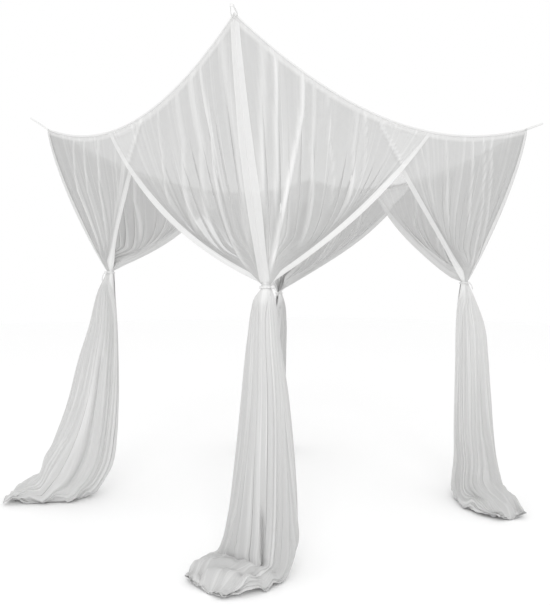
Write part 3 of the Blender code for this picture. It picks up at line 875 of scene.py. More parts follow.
@dataclass(frozen=True)
class Roof:
    """The net's top: one panel between the four hanging edges, with its bound edge."""

    columns: int = 132
    rows: int = 116
    ripple: float = 0.006
    wrinkle: float = 0.0035
    wrinkle_reach: float = 0.45
    wrinkle_start: Fade = Fade(0.0, 0.12)
    hem: float = 0.014
    hem_white: float = 0.8
    hem_cover: float = 0.2
    cover: float = 0.40
    tuck_in: float = 0.25
    tape_steps: int = 150
    tape_ring: int = 10
    ring_radius: float = 0.25
    pucker: tuple[float, float] = (0.10, 0.08)

    def rim(self, index: int, share: np.ndarray) -> np.ndarray:
        """Edge of the panel inside the binding.

        Args:
            index: The side.
            share: Shares of the way along it.

        Returns:
            One point for each share.
        """
        inset = self.tuck_in * CUT.binding_depth * np.sin(math.pi * share) ** 0.2
        return (edge_points(index, share) + up(np.full_like(share, 0.5 * CUT.binding_height))
                - level(side_heading(index)) * inset[..., None])

    def panel_points(self) -> np.ndarray:
        """Return the panel's points, back row first."""
        s = np.linspace(0.0, 1.0, self.columns)[None, :]
        t = np.linspace(1.0, 0.0, self.rows)[:, None]
        near = self.rim(0, s[0])[None, :, :]
        far = self.rim(2, 1.0 - s[0])[None, :, :]
        left = self.rim(3, 1.0 - t[:, 0])[:, None, :]
        right = self.rim(1, t[:, 0])[:, None, :]
        lift = up(0.5 * CUT.binding_height)
        corner = [corner_point(i) + lift for i in range(4)]
        s3, t3 = s[..., None], t[..., None]
        ruled = near * (1 - t3) + far * t3 + left * (1 - s3) + right * s3
        bilinear = (corner[0] * (1 - s3) * (1 - t3) + corner[1] * s3 * (1 - t3)
                    + corner[3] * (1 - s3) * t3 + corner[2] * s3 * t3)
        points = ruled - bilinear
        calm = 16.0 * s * (1 - s) * t * (1 - t)
        drift = (self.ripple * calm * np.sin(7.0 * s + 5.0 * t)
                 * np.cos(6.0 * t - 3.0 * s))
        points[..., 2] += drift + self.drawn_wrinkles(s, t)
        return points

    def drawn_wrinkles(self, s: np.ndarray, t: np.ndarray) -> np.ndarray:
        """Fine wrinkles that fan out from each hook.

        Args:
            s: Share along X.
            t: Share along Y.

        Returns:
            The rise of the cloth.
        """
        rise = np.zeros(np.broadcast(s, t).shape)
        for number, (cs, ct) in enumerate(((0, 0), (1, 0), (1, 1), (0, 1))):
            x = np.abs(s - cs) * (2.0 * CUT.half_length)
            y = np.abs(t - ct) * (2.0 * CUT.half_width)
            away = np.hypot(x, y)
            angle = np.arctan2(y, x)
            fan = np.sin(angle * 26.0 + number * 1.7 + 0.9 * np.sin(angle * 5.0))
            edge = np.sin(2.0 * np.clip(angle, 0.0, math.pi / 2)) ** 0.5
            rise += (self.wrinkle * fan * edge * np.exp(-away / self.wrinkle_reach)
                     * self.wrinkle_start(away))
        return rise

    def build(self, net: bpy.types.Material, tape: bpy.types.Material
              ) -> tuple[bpy.types.Object, bpy.types.Object]:
        """Make the panel and its binding.

        Args:
            net: Finish of the panel.
            tape: Finish of the binding.

        Returns:
            The panel and the binding.
        """
        s, t = np.linspace(0.0, 1.0, self.columns), np.linspace(1.0, 0.0, self.rows)
        uv = flat_places(s * CUT.roof_flat[0], t * CUT.roof_flat[1])
        border = np.minimum(np.minimum(s, 1 - s)[None, :] * (2.0 * CUT.half_length),
                            np.minimum(t, 1 - t)[:, None] * (2.0 * CUT.half_width))
        hem = 1.0 - ease((border - self.hem) / CUT.hem_edge)
        layers = {COVER: self.cover + self.hem_cover * hem, WHITE_AND_PAINTED_LIGHT: self.hem_white * hem}
        panel = lay_sheet(self.panel_points(), uv, layers, facing([0.0, 0.0, 1.0]))
        settle_mesh(panel, "roof_net", net, ("roof_panel",))
        binding = self.build_binding(tape)
        return panel, binding

    def build_binding(self, tape: bpy.types.Material) -> bpy.types.Object:
        """Make the folded tape round the roof: one closed ring, puckered by its stitches.

        Args:
            tape: Its finish.

        Returns:
            The ring.
        """
        count = 4 * self.tape_steps
        clear_selection()
        bpy.ops.mesh.primitive_torus_add(major_segments=count, minor_segments=self.tape_ring,
                                         major_radius=1.0, minor_radius=self.ring_radius,
                                         location=(0.0, 0.0, 0.0))
        item = bpy.context.active_object
        mesh = item.data
        flat = vertex_places(mesh)
        turn = np.arctan2(flat[:, 1], flat[:, 0]) / (2.0 * math.pi) % 1.0
        step = np.rint(turn * count).astype(int) % count
        radial = (np.hypot(flat[:, 0], flat[:, 1]) - 1.0) / self.ring_radius
        rise = flat[:, 2] / self.ring_radius
        placed = np.zeros_like(flat)
        along = np.zeros(len(flat))
        total = 0.0
        for index in range(4):
            share = np.arange(self.tape_steps + 1) / self.tape_steps
            line = edge_points(index, share)
            length = running(line)
            here = step // self.tape_steps == index
            place = step[here] % self.tape_steps
            tangent = np.gradient(line, axis=0)
            tangent /= np.linalg.norm(tangent, axis=1)[:, None]
            outward = np.cross(tangent, np.array([0.0, 0.0, 1.0]))
            outward /= np.linalg.norm(outward, axis=1)[:, None]
            pucker = (1.0 + self.pucker[0] * np.sin(length * 420.0)
                      + self.pucker[1] * np.sin(length * 133.0))
            half_deep = 0.5 * CUT.binding_depth * pucker[place] * radial[here]
            half_tall = 0.5 * CUT.binding_height
            placed[here] = (line[place] + outward[place] * half_deep[:, None]
                            + up(half_tall + half_tall * rise[here]))
            along[here] = total + length[place]
            total += length[-1]
        move_vertices(mesh, placed)
        write_cloth_uv(mesh, np.stack([0.5 + 0.5 * rise, along], axis=-1))
        mesh.update()
        return settle_mesh(item, "edge_binding_tape", tape, ("edge_binding",))


# ---------------------------------------------------------------- curtains

@dataclass
class Curtain:
    """One curtain: its fan from the top edge to the tie, and the gathered cloth below it.

    A Fade says over which stretch something sets in.  On the fan it is measured as the share
    of the way from the top edge to the tie.  Below the tie it is measured as the share of the
    way to the far end, or as a running length in metres where its name ends in run.  Other
    fields without a unit are shares of 1.
    """

    index: int
    # The grid of the sheet, and one tuck as rows of cloth used, place across and depth.
    pleats_per_wing: int = 14
    tuck: tuple[tuple[float, float, float], ...] = (
        (0.00, 0.000, 0.00), (0.09, 0.160, 0.00), (0.18, 0.330, 0.00), (0.25, 0.450, 0.01),
        (0.28, 0.484, 0.06), (0.32, 0.494, 0.25), (0.40, 0.497, 0.62), (0.46, 0.499, 0.90),
        (0.50, 0.500, 1.00), (0.54, 0.501, 0.90), (0.60, 0.503, 0.62), (0.68, 0.506, 0.25),
        (0.72, 0.516, 0.06), (0.75, 0.550, 0.01), (0.82, 0.670, 0.00), (0.91, 0.840, 0.00))
    flat_columns: int = 8
    fan_rows: int = 64
    neck_rows: int = 4
    lower_rows: int = 96
    # How finely lengths are measured, and how often a depth is halved to fit.
    wing_samples: int = 33
    drop_samples: int = 13
    hem_samples: int = 60
    halvings: int = 9
    # Hems and the flat strip at the corner, in metres.
    hem_width: float = 0.052
    corner_half: float = 0.021
    top_hem: float = 0.016
    floor_hem: float = 0.026
    # How uneven the pleats are and how deep they fold.
    uneven: tuple[float, float] = (0.36, 0.28)
    fold_mean: float = 0.62
    fold_gathered: float = 0.30
    fold_gathers: Fade = Fade(1.0, 0.1)
    fold_waves: tuple[float, float] = (0.30, 0.22)
    fold_least: float = 0.10
    # How sharply pleats crowd at the hems, and how much of a short row the flat strips take.
    crowding: int = 6
    corner_most: float = 0.26
    hem_most: float = 0.36
    # The fan: its folds lean over and hang upright until they near the tie.
    fan_depth: float = 0.045
    fan_fill: float = 0.82
    lean_degrees: float = 68.0
    lean_ends: Fade = Fade(0.70, 0.28)
    upright: float = 0.75
    upright_ends: Fade = Fade(0.70, 0.30)
    neck_nears: Fade = Fade(0.80, 0.20)
    edge_calm: Fade = Fade(0.0, 0.06)
    crease_fade: float = 0.08
    # The neck inside the tie, in metres.
    neck_depth: float = 0.015
    neck_inset: float = 0.0015
    neck_fold: float = 0.004
    # The gathered cloth: one side hem laps inside the other, folds wander as they fall, and
    # the end spreads and lies flat on the floor.
    lower_depth_share: float = 0.90
    floor_depth_share: float = 0.70
    evened: float = 0.85
    laps_run: Fade = Fade(0.0, 0.16)
    lap_depth: float = 0.07
    lap_from: Fade = Fade(0.93, 0.03)
    narrows_run: Fade = Fade(0.0, 0.14)
    wanders_run: Fade = Fade(0.0, 0.3)
    wander: float = 0.008
    leaves_neck: Fade = Fade(0.0, 0.05)
    swells: Fade = Fade(0.0, 0.2)
    swell: tuple[float, float] = (0.050, 0.030)
    scallop: float = 0.035
    scallop_starts: Fade = Fade(0.0, 0.10)
    dent_fades: tuple[float, float] = (0.12, 0.08)
    fills_out: Fade = Fade(0.35, 0.5)
    loosens: Fade = Fade(0.72, 0.28)
    lobe: float = 0.045
    lobe_rise: float = 0.6
    flattens: Fade = Fade(0.84, 0.12)
    flattened: float = 0.8
    closed_from: float = 0.93
    closing: float = 0.75
    # Crumples on the floor, which set in by height above it, in metres.
    lying: Fade = Fade(0.02, 0.14)
    off_floor: Fade = Fade(0.006, 0.016)
    crumple_height: float = 0.0110
    crumple_rise: float = 0.6
    crumple_bend: float = 0.025
    floor_shift: float = 0.008
    floor_least: float = 0.0015
    # Layers of cloth, 0 for one and 1 for several, and where they show. The whitening of the
    # tucks is partly their folded layers and partly painted light that cancels the shade in
    # them.
    hem_share_most: float = 0.17
    hem_opens: Fade = Fade(0.0, 0.40)
    hem_drawn: float = 0.45
    hem_dimmed: float = 0.35
    tuck_layers_and_painted_light: float = 0.75
    tuck_full: float = 0.006
    top_layers: float = 0.50
    gathers: Fade = Fade(0.72, 0.28)
    gathered_layers_and_tuck_light: float = 0.40
    neck_layers: float = 0.8
    below_tie_layers: float = 0.5
    lower_hem_layers: float = 0.5
    floor_hem_layers: float = 0.6
    # Cover and whiteness that the layers give, and how much the layers take from the painted
    # light on the gathered cloth.
    bundle_cover: float = 0.86
    folded_cover: float = 0.95
    neck_blend_rows: float = 10.0
    bundle_evened: float = 0.55
    # Where two curtains lap.
    lap_clear: float = 0.38
    lap_white: float = 0.50
    lap_band: float = 0.026
    lap_edge: float = 0.008
    band_white: float = 0.45
    band_cover: float = 0.30

    def __post_init__(self) -> None:
        """Lay out the pleats and the gathered cloth."""
        self.corner = CORNERS[self.index]
        self.left, self.right = SIDES[(self.index - 1) % 4], SIDES[self.index]
        half = 0.5 * CUT.curtain_width
        self.corner_share = self.corner_half / half
        self.hem_share = self.hem_width / half
        self.u, self.nominal, self.phase, self.fold, self.pleat = self.lay_out_pleats()
        self.section_rows, self.section_run = self.section_path()

    # Layout across the curtain.

    def lay_out_pleats(self) -> np.ndarray:
        """Lay uneven pleats between the flat side hems and the flat corner.

        Returns:
            For each column, u across the cloth, its nominal place across a row, its phase in
            its pleat, its depth in the tuck and the pleat, or -1 where the cloth stays flat.
        """
        seed = self.corner.seed
        number = np.arange(self.pleats_per_wing)
        inner, outer = self.corner_share, 1.0 - self.hem_share
        wings: list[list[tuple[float, ...]]] = []
        for wing in (0, 1):
            widths = (1.0 + self.uneven[0] * np.sin(2.3 * number + seed + 1.3 * wing)
                      + self.uneven[1] * np.sin(5.1 * number + 2.0 * seed))
            starts = np.concatenate([[0.0], np.cumsum(widths / widths.sum())])
            flats = [inner * i / self.flat_columns for i in range(self.flat_columns)]
            columns = [(u, u, 0.0, 0.0, -1.0) for u in flats]
            for i in number:
                pleat = float(i + wing * self.pleats_per_wing)
                width = starts[i + 1] - starts[i]
                for cloth, place, depth in self.tuck:
                    columns.append((inner + (starts[i] + cloth * width) * (outer - inner),
                                    inner + (starts[i] + place * width) * (outer - inner),
                                    place, depth, pleat))
            flats = [outer + self.hem_share * i / self.flat_columns
                     for i in range(self.flat_columns + 1)]
            wings.append(columns + [(u, u, 0.0, 0.0, -1.0) for u in flats])
        mirror = np.array([-1.0, -1.0, 1.0, 1.0, 1.0])
        whole = [np.array(column) * mirror for column in reversed(wings[0][1:])]
        return np.array(whole + [np.array(column) for column in wings[1]]).T

    def pleat_wave(self, down: float) -> np.ndarray:
        """Depth of every column inward from the crests, 0 on a crest and 1 in the deepest fold.

        Args:
            down: Share of the way down the curtain, which moves the folds' strengths.

        Returns:
            One depth for each column.
        """
        seed = self.corner.seed
        strength = (self.fold_mean + self.fold_gathered * self.fold_gathers(down)
                    + self.fold_waves[0] * np.sin(1.9 * self.pleat + seed + 0.9 * down)
                    + self.fold_waves[1] * np.sin(4.3 * self.pleat - 2.0 * seed - 1.1 * down))
        return np.clip(strength, self.fold_least, 1.0) * self.fold

    def places(self, left: float, right: float, cling: float, hang: float) -> np.ndarray:
        """Where the columns lie across a row, from -1 to 1.

        Args:
            left: Length of the row's left wing.
            right: Length of its right wing.
            cling: 1 keeps the side hems and the corner at their width, 0 lets them shrink
                with the rest.
            hang: How far the folds hang straight down instead of running to the tie, which
                crowds them against the side hems.

        Returns:
            One place for each column.
        """
        size = np.abs(self.nominal)
        inner, outer = self.corner_share, 1.0 - self.hem_share
        pushed = (size - inner) / (outer - inner) / (1.0 - hang)
        most = 1.0 / (1.0 - hang)
        power = self.crowding
        pushed = pushed / (1.0 + np.abs(pushed) ** power) ** (1 / power)
        pushed = pushed * (1.0 + most ** power) ** (1 / power) / most
        size = np.where((size > inner) & (size < outer), inner + pushed * (outer - inner), size)
        placed = np.zeros_like(size)
        for length, here in ((left, self.u < 0.0), (right, self.u >= 0.0)):
            corner = min(self.corner_half, self.corner_most * length) / length
            hem = min(self.hem_width, self.hem_most * length) / length
            kept = np.interp(size, (0.0, inner, outer, 1.0), (0.0, corner, 1.0 - hem, 1.0))
            placed = np.where(here, size + (kept - size) * cling, placed)
        return np.sign(self.u) * placed

    def fan_places(self, share: float) -> np.ndarray:
        """Places of the columns on a row of the fan.

        Args:
            share: Share of the way from the top edge to the tie.

        Returns:
            One place for each column, from -1 to 1.
        """
        left, right = (running(self.fan_surface(
            np.linspace(0.0, end, self.wing_samples), share)[0])[-1] for end in (-1.0, 1.0))
        hang = self.upright * share * (1.0 - float(self.upright_ends(share)))
        return self.places(float(left), float(right), 1.0, hang)

    # Shape of the fan.

    def top_points(self, v: np.ndarray) -> np.ndarray:
        """Where lines down the curtain leave the edge binding.

        Args:
            v: Lines across the curtain.

        Returns:
            One point for each line.
        """
        left = edge_points(self.index + 3, 1.0 + np.minimum(v, 0.0) * self.corner.left_reach)
        right = edge_points(self.index, np.maximum(v, 0.0) * self.corner.right_reach)
        return np.where((v < 0.0)[:, None], left, right) - up(np.full_like(v, CUT.hang_gap))

    def tie_centre(self) -> np.ndarray:
        """Middle of the tie."""
        corner = self.corner
        return np.array([corner.x_sign * (CUT.half_length - corner.inset_x),
                         corner.y_sign * (CUT.half_width - corner.inset_y),
                         corner.tie_height])

    def ring_headings(self, v: np.ndarray, drawn: np.ndarray | float = 0.0) -> np.ndarray:
        """Directions of lines v from the middle of the gathered bundle.

        Args:
            v: Lines across the curtain.
            drawn: 0 with the side hems apart, 1 with one lapped over the other.

        Returns:
            The headings in radians.
        """
        corner = self.corner
        diagonal = -135 + 90 * self.index
        outward = math.degrees(math.atan2(corner.y_sign * corner.inset_y,
                                          corner.x_sign * corner.inset_x))
        turn = (outward - diagonal + 180) % 360 - 180
        span = CUT.ring_span + (CUT.lapped_span - CUT.ring_span) * drawn
        return math.radians(diagonal + turn) + v * span

    def neck_points(self, v: np.ndarray, inward: np.ndarray, rise: float) -> np.ndarray:
        """Points on the neck inside the tie, a distance inward from its outside."""
        radius = CUT.neck_radius - self.neck_inset - inward
        return (self.tie_centre() + level(self.ring_headings(v)) * radius[:, None]
                + up(np.full_like(v, rise)))

    def fan_surface(self, v: np.ndarray, share: float) -> tuple[np.ndarray, np.ndarray]:
        """Middle surface of the fan without its pleats.

        Args:
            v: Lines across the curtain, -1 at the left hem and 1 at the right one.
            share: Share of the way from the top edge to the tie.

        Returns:
            The points and the outward direction of the cloth at each.
        """
        corner = self.corner
        top = self.top_points(v)
        tie = self.neck_points(v, np.full_like(v, self.neck_fold), CUT.neck_half)
        point = top + (tie - top) * share
        late = share - share ** CUT.belly
        for heading, weight in ((side_heading(self.index - 1), ease(1.0 - v / CUT.corner_blend)),
                                (side_heading(self.index), ease(1.0 + v / CUT.corner_blend))):
            outward = level(heading)
            swing = ((top - tie) @ outward) * late * weight
            point = point + outward * swing[:, None]
        hem_sag = np.where(v > 0.0, corner.right_sag, corner.left_sag)
        sag = CUT.corner_sag + (hem_sag - CUT.corner_sag) * np.abs(v)
        point[:, 2] -= sag * 4.0 * share * (1.0 - share)
        start = math.radians(-180 + 90 * self.index)
        heading = start + 0.5 * math.pi * ease(0.5 + 0.5 * v / CUT.corner_blend)
        heading = heading + (self.ring_headings(v) - heading) * ease(share)
        layer = (np.where(v > 0.0, self.right.outer, self.left.outer)
                 * np.clip(v / CUT.corner_blend, -1.0, 1.0))
        spread = np.where(v > 0.0, self.right.spread, self.left.spread)
        spread = (spread * math.sin(math.pi * min(share / CUT.spread_end, 1.0))
                  ** CUT.spread_power)
        offset = layer * (CUT.wing_offset * (1.0 - share) + spread * np.abs(v))
        direction = level(heading)
        return point + direction * offset[:, None], direction

    def fan_lengths(self) -> np.ndarray:
        """Length of every column from the top edge to the tie."""
        shares = [float(share) for share in np.linspace(0.0, 1.0, self.drop_samples)]
        rows = [self.fan_surface(self.fan_places(share), share)[0] for share in shares]
        return np.linalg.norm(np.diff(np.array(rows), axis=0), axis=2).sum(axis=0)

    def fitted_depth(self, row_at: Callable[[float], np.ndarray], wanted: float,
                     deepest: float) -> float:
        """Depth of pleats that takes up the cloth of one row.

        Args:
            row_at: Gives the row's points for a depth.
            wanted: Length of cloth across the row.
            deepest: The most that the depth may be.

        Returns:
            The depth.
        """
        low, high = 0.0, deepest
        for _ in range(self.halvings):
            middle = 0.5 * (low + high)
            if running(row_at(middle))[-1] > wanted:
                high = middle
            else:
                low = middle
        return 0.5 * (low + high)

    def fan_row(self, share: float, fan_length: np.ndarray
                ) -> tuple[np.ndarray, np.ndarray]:
        """One row of the fan.

        Args:
            share: Share of the way from the top edge to the tie.
            fan_length: Length of every column of the fan.

        Returns:
            The points and how many layers lie at each, 0 for one and 1 for several, with painted
            light in the tucks.
        """
        v = self.fan_places(share)
        base, direction = self.fan_surface(v, share)
        late = float(self.neck_nears(share))
        wave = self.pleat_wave(share)
        lean = math.radians(self.lean_degrees) * (1.0 - float(self.lean_ends(share)))
        step = np.gradient(base, axis=0)
        step = step / np.linalg.norm(step, axis=1, keepdims=True)
        into = (-direction * math.cos(lean)
                - step * math.sin(lean) * np.sign(self.u)[:, None])
        depth = self.fitted_depth(lambda d: base + into * (wave * d)[:, None],
                                  self.fan_fill * CUT.curtain_width,
                                  self.fan_depth + (self.neck_depth - self.fan_depth) * late)
        points = base + into * (wave * depth)[:, None]
        across = running(base)
        ridge, creased = self.creases_at(v, across, share)
        points = points + direction * (ridge * self.edge_calm(share))[:, None]
        early = 1.0 - float(self.hem_opens(share))
        hem = (self.corner.hem_white * self.hem_layers(across, 1.0 - self.hem_drawn * early)
               * (1.0 - self.hem_dimmed * early))
        # Whiter tucks: partly folded layers, partly painted light that cancels the shade in
        # them.
        tucked = self.tuck_layers_and_painted_light * np.minimum(wave * depth / self.tuck_full, 1.0)
        layers = np.maximum(np.maximum(hem, creased), tucked)
        layers = layers + self.gathered_layers_and_tuck_light * float(self.gathers(share))
        top_hem = 1.0 - ease((fan_length * share - self.top_hem) / CUT.hem_edge)
        return points, np.maximum(layers, self.top_layers * top_hem)

    def hem_layers(self, across: np.ndarray, drawn: float = 1.0) -> np.ndarray:
        """Extra layers where each side hem is turned over.

        Args:
            across: Running lengths along a row.
            drawn: Share of the hem's width that shows.

        Returns:
            1 on the hems and 0 between them.
        """
        edge = np.minimum(across, across[-1] - across)
        width = min(self.hem_width, self.hem_share_most * across[-1]) * drawn
        return 1.0 - ease((edge - width + 0.5 * CUT.hem_edge) / CUT.hem_edge)

    def creases_at(self, v: np.ndarray, across: np.ndarray, share: float
                   ) -> tuple[np.ndarray, np.ndarray]:
        """Ridge and layers of the creases on one row.

        Args:
            v: Places of the columns.
            across: Running lengths along the row.
            share: Share of the way from the top edge to the tie.

        Returns:
            The rise and the layers of the cloth at each column.
        """
        ridge = np.zeros_like(v)
        layers = np.zeros_like(v)
        for crease in self.corner.creases:
            shares = (crease.share_top, crease.share_mid, crease.share_end)
            if share > shares[2] + self.crease_fade:
                continue
            line = (crease.u_top, crease.u_mid, crease.u_end)
            middle = float(np.interp(np.interp(share, shares, line), v, across))
            fade = float(ease((shares[2] + self.crease_fade - share)
                              / (2.0 * self.crease_fade)))
            bump = np.exp(-np.abs((across - middle) / crease.half_width) ** 3) * fade
            ridge += crease.ridge * bump
            layers = np.maximum(layers, crease.strength * bump)
        return ridge, layers

    # Shape of the gathered cloth below the tie.

    def section_path(self) -> tuple[np.ndarray, np.ndarray]:
        """Return the sections below the tie and the running length at each."""
        start = ((0.0, 0.0, self.corner.tie_height - CUT.neck_half, 0.0)
                 + 3 * (CUT.neck_radius,))
        rows = np.array((start,) + self.corner.sections)
        return rows, running(rows[:, :3])

    def sections_at(self, length: np.ndarray) -> np.ndarray:
        """Smooth blend of the section rows.

        Args:
            length: Running lengths below the tie.

        Returns:
            One section for each length, as the rows of a corner's sections.
        """
        rows, run = self.section_rows, self.section_run
        length = np.clip(length, 0.0, run[-1])
        i = np.clip(np.searchsorted(run, length, side="right") - 1, 0, len(rows) - 2)
        slopes = np.gradient(rows, run, axis=0)
        span = (run[i + 1] - run[i])[:, None]
        t = ((length - run[i])[:, None]) / span
        return ((1 + 2 * t) * (1 - t) ** 2 * rows[i] + t * (1 - t) ** 2 * span * slopes[i]
                + t * t * (3 - 2 * t) * rows[i + 1] + t * t * (t - 1) * span * slopes[i + 1])

    def lower_surface(self, v: np.ndarray, length: np.ndarray, inward: np.ndarray
                      ) -> np.ndarray:
        """Points on the gathered cloth.

        Args:
            v: Places of the columns round the bundle.
            length: Running length below the tie, for each column.
            inward: Share by which each column is folded in towards the middle.

        Returns:
            One point for each column.
        """
        seed = self.corner.seed
        share = length / self.section_run[-1]
        drawn = self.laps_run(length)
        ring_heading = self.ring_headings(v, drawn)
        inward = inward + self.lap_depth * drawn * self.lap_from(v)
        loose = self.loosens(share)
        lobes = 0.5 * np.sin(3.0 * ring_heading + seed) + 0.5 * np.sin(7.0 * ring_heading)
        section = self.sections_at(length - self.lobe * loose * (lobes + self.lobe_rise))
        advance, side, height, tilt, half_wide, ahead, behind = section.T
        along = level(math.radians(self.corner.sweep))
        across = level(math.radians(self.corner.sweep + 90))
        lean = np.radians(tilt)
        thin_axis = along * np.cos(lean)[:, None] + up(np.sin(lean))
        centre = self.tie_centre() + along * advance[:, None] + across * side[:, None]
        centre[:, 2] = height
        ring = level(ring_heading)
        fullness = 1.0 + (CUT.floor_fullness - 1.0) * self.fills_out(share)
        forward, sideways = ring @ along, ring @ across
        forward = np.sign(forward) * np.abs(forward) ** fullness
        sideways = np.sign(sideways) * np.abs(sideways) ** fullness
        closed = 1.0 - self.closing * ease((share - self.closed_from)
                                           / (1.0 - self.closed_from))
        half_thin = np.where(forward > 0.0, ahead, behind) * closed
        swell = (self.swell[0] * np.sin(3.0 * ring_heading + 4.0 * length + seed)
                 + self.swell[1] * np.sin(7.0 * ring_heading - 3.0 * length + 2.0 * seed))
        reach = (1.0 - inward) * (1.0 + swell * self.swells(share))
        return (centre + across * (half_wide * reach * sideways)[:, None]
                + thin_axis * (half_thin * reach * forward)[:, None])

    def rest_on_floor(self, points: np.ndarray) -> np.ndarray:
        """Keep points above the floor, settling gently on it.

        Args:
            points: Points of one row.

        Returns:
            The same points, raised where they lay too low.
        """
        above = (points[:, 2] - CUT.floor_gap) / CUT.floor_softness
        settled = np.where(above > 30.0, above, np.log1p(np.exp(np.minimum(above, 30.0))))
        points[:, 2] = CUT.floor_gap + CUT.floor_softness * settled
        return points

    def crumple(self, points: np.ndarray, length: np.ndarray) -> np.ndarray:
        """Small folds in the cloth that lies on the floor.

        Args:
            points: Points of one row.
            length: Running length below the tie, for each column.

        Returns:
            The moved points.
        """
        seed = self.corner.seed
        low = 1.0 - self.lying(points[:, 2])
        x, y = points[:, 0], points[:, 1]
        bend = self.crumple_bend * np.sin(19.0 * x + 13.0 * y + seed)
        fold = (np.sin(52.0 * (x + bend) + 30.0 * y + 2.0 * seed)
                + 0.6 * np.sin(-31.0 * x + 66.0 * (y + bend) + seed)
                + 0.35 * np.sin(118.0 * y - 95.0 * x + 3.0 * seed))
        top = self.off_floor(points[:, 2])
        points[:, 2] += self.crumple_height * (fold + self.crumple_rise) * low * top
        shift = self.floor_shift * np.sin(24.0 * length + 9.0 * self.u + seed) * low
        return points + level(math.radians(self.corner.sweep + 90)) * shift[:, None]

    def lower_row(self, step_share: float, spare: np.ndarray
                  ) -> tuple[np.ndarray, np.ndarray, np.ndarray]:
        """One row of the gathered cloth below the tie.

        Args:
            step_share: Share of the way from the tie to the bottom hem.
            spare: Length of cloth below the tie, for each column.

        Returns:
            The points, the layers at each, with painted light in the tucks, and the running
            length of each below the tie.
        """
        even = spare + self.evened * (float(spare.max()) - spare)
        length = even * step_share
        share = length / self.section_run[-1]
        mean_length = float(length.mean())
        flat = self.lower_surface(self.u, length, np.zeros_like(self.u))
        wing = 0.5 * float(running(flat)[-1])
        v = self.places(wing, wing, 1.0 - float(self.narrows_run(mean_length)), 0.0)
        wander = self.wander * np.sin(5.0 * length + self.corner.seed + 4.0 * v)
        v = v + wander * (1.0 - v * v) * self.wanders_run(mean_length)
        wave = self.pleat_wave(1.0 + step_share)
        shallower = self.floor_depth_share - self.lower_depth_share
        deepest = self.lower_depth_share + shallower * float(ease(share.mean()))
        bulge = 0.5 * self.scallop * (1.0 - np.cos(2.0 * math.pi * self.phase))
        bulge = bulge * self.scallop_starts(share) + self.dents_at(v, length)
        depth = self.fitted_depth(
            lambda d: self.lower_surface(v, length, np.maximum(wave * d, bulge)),
            CUT.curtain_width, deepest)
        first = self.neck_depth / CUT.neck_radius
        depth_here = first + (depth - first) * self.leaves_neck(share)
        depth_here = depth_here * (1.0 - self.flattened * self.flattens(share))
        points = self.lower_surface(v, length, np.maximum(wave * depth_here, bulge))
        points = self.crumple(self.rest_on_floor(points), length)
        points[:, 2] = np.maximum(points[:, 2], self.floor_least - CUT.centre[2])
        plain = self.lower_surface(v, length, np.zeros_like(v))
        # Whiter tucks below the tie, by their depth: partly folded layers, partly painted light
        # that cancels the shade in them.
        layers = (self.lower_hem_layers * self.hem_layers(running(plain))
                  + self.gathered_layers_and_tuck_light * wave
                  + self.below_tie_layers * (1.0 - self.edge_calm(share)))
        floor_hem = 1.0 - ease((even - length - self.floor_hem) / CUT.hem_edge)
        return points, np.maximum(layers, self.floor_hem_layers * floor_hem), length

    def dents_at(self, v: np.ndarray, length: np.ndarray) -> np.ndarray:
        """Share by which the dents of the gathered cloth are pressed in.

        Args:
            v: Places of the columns round the bundle.
            length: Running length below the tie, for each column.

        Returns:
            One share for each column.
        """
        pressed = np.zeros_like(v)
        begins, ends = self.dent_fades
        for dent in self.corner.dents:
            down = ease((length - dent.start) / begins) * ease((dent.end - length) / ends)
            line = dent.v + dent.drift * (length - dent.start)
            pressed += dent.depth * down * np.exp(-((v - line) / dent.half_width) ** 2)
        return pressed

    def build(self, net: bpy.types.Material, pieces: list[bpy.types.Object]
              ) -> bpy.types.Object:
        """Make the curtain.

        Args:
            net: Its finish.
            pieces: Pieces sewn to it; not used.

        Returns:
            The curtain.
        """
        fan_length = self.fan_lengths()
        spare = CUT.drop - fan_length - 2.0 * CUT.neck_half
        strips = [(*self.fan_row(step / self.fan_rows, fan_length),
                   fan_length * (step / self.fan_rows)) for step in range(self.fan_rows + 1)]
        strips += [self.neck_row(step, fan_length) for step in range(1, self.neck_rows)]
        for step in range(self.lower_rows + 1):
            points, layer, length = self.lower_row(step / self.lower_rows, spare)
            strips.append((points, layer, fan_length + 2.0 * CUT.neck_half + length))
        rows, layers, lengths = (np.array(part) for part in zip(*strips))
        across = (self.u + 1.0) * 0.5 * CUT.curtain_width
        uv = np.stack([np.tile(across, (len(rows), 1)), lengths], axis=-1)
        cover, white = self.show_overlap(rows, *self.cover_and_white(layers))
        item = lay_sheet(rows, uv, {COVER: cover, WHITE_AND_PAINTED_LIGHT: white}, away_from(self.tie_centre()))
        settle_mesh(item, f"curtain_net_{self.corner.name}", net,
                    (f"curtain_{self.corner.name}",))
        return item

    def neck_row(self, step: int, fan_length: np.ndarray
                 ) -> tuple[np.ndarray, np.ndarray, np.ndarray]:
        """One row of the neck inside the tie.

        Args:
            step: Its number down the neck.
            fan_length: Length of every column of the fan.

        Returns:
            The points, the layers at each and the running length of each from the top edge.
        """
        rise = CUT.neck_half * (1.0 - 2.0 * step / self.neck_rows)
        inward = self.pleat_wave(1.0) * self.neck_depth
        return (self.neck_points(self.fan_places(1.0), inward, rise),
                np.full_like(self.u, self.neck_layers), fan_length + CUT.neck_half - rise)

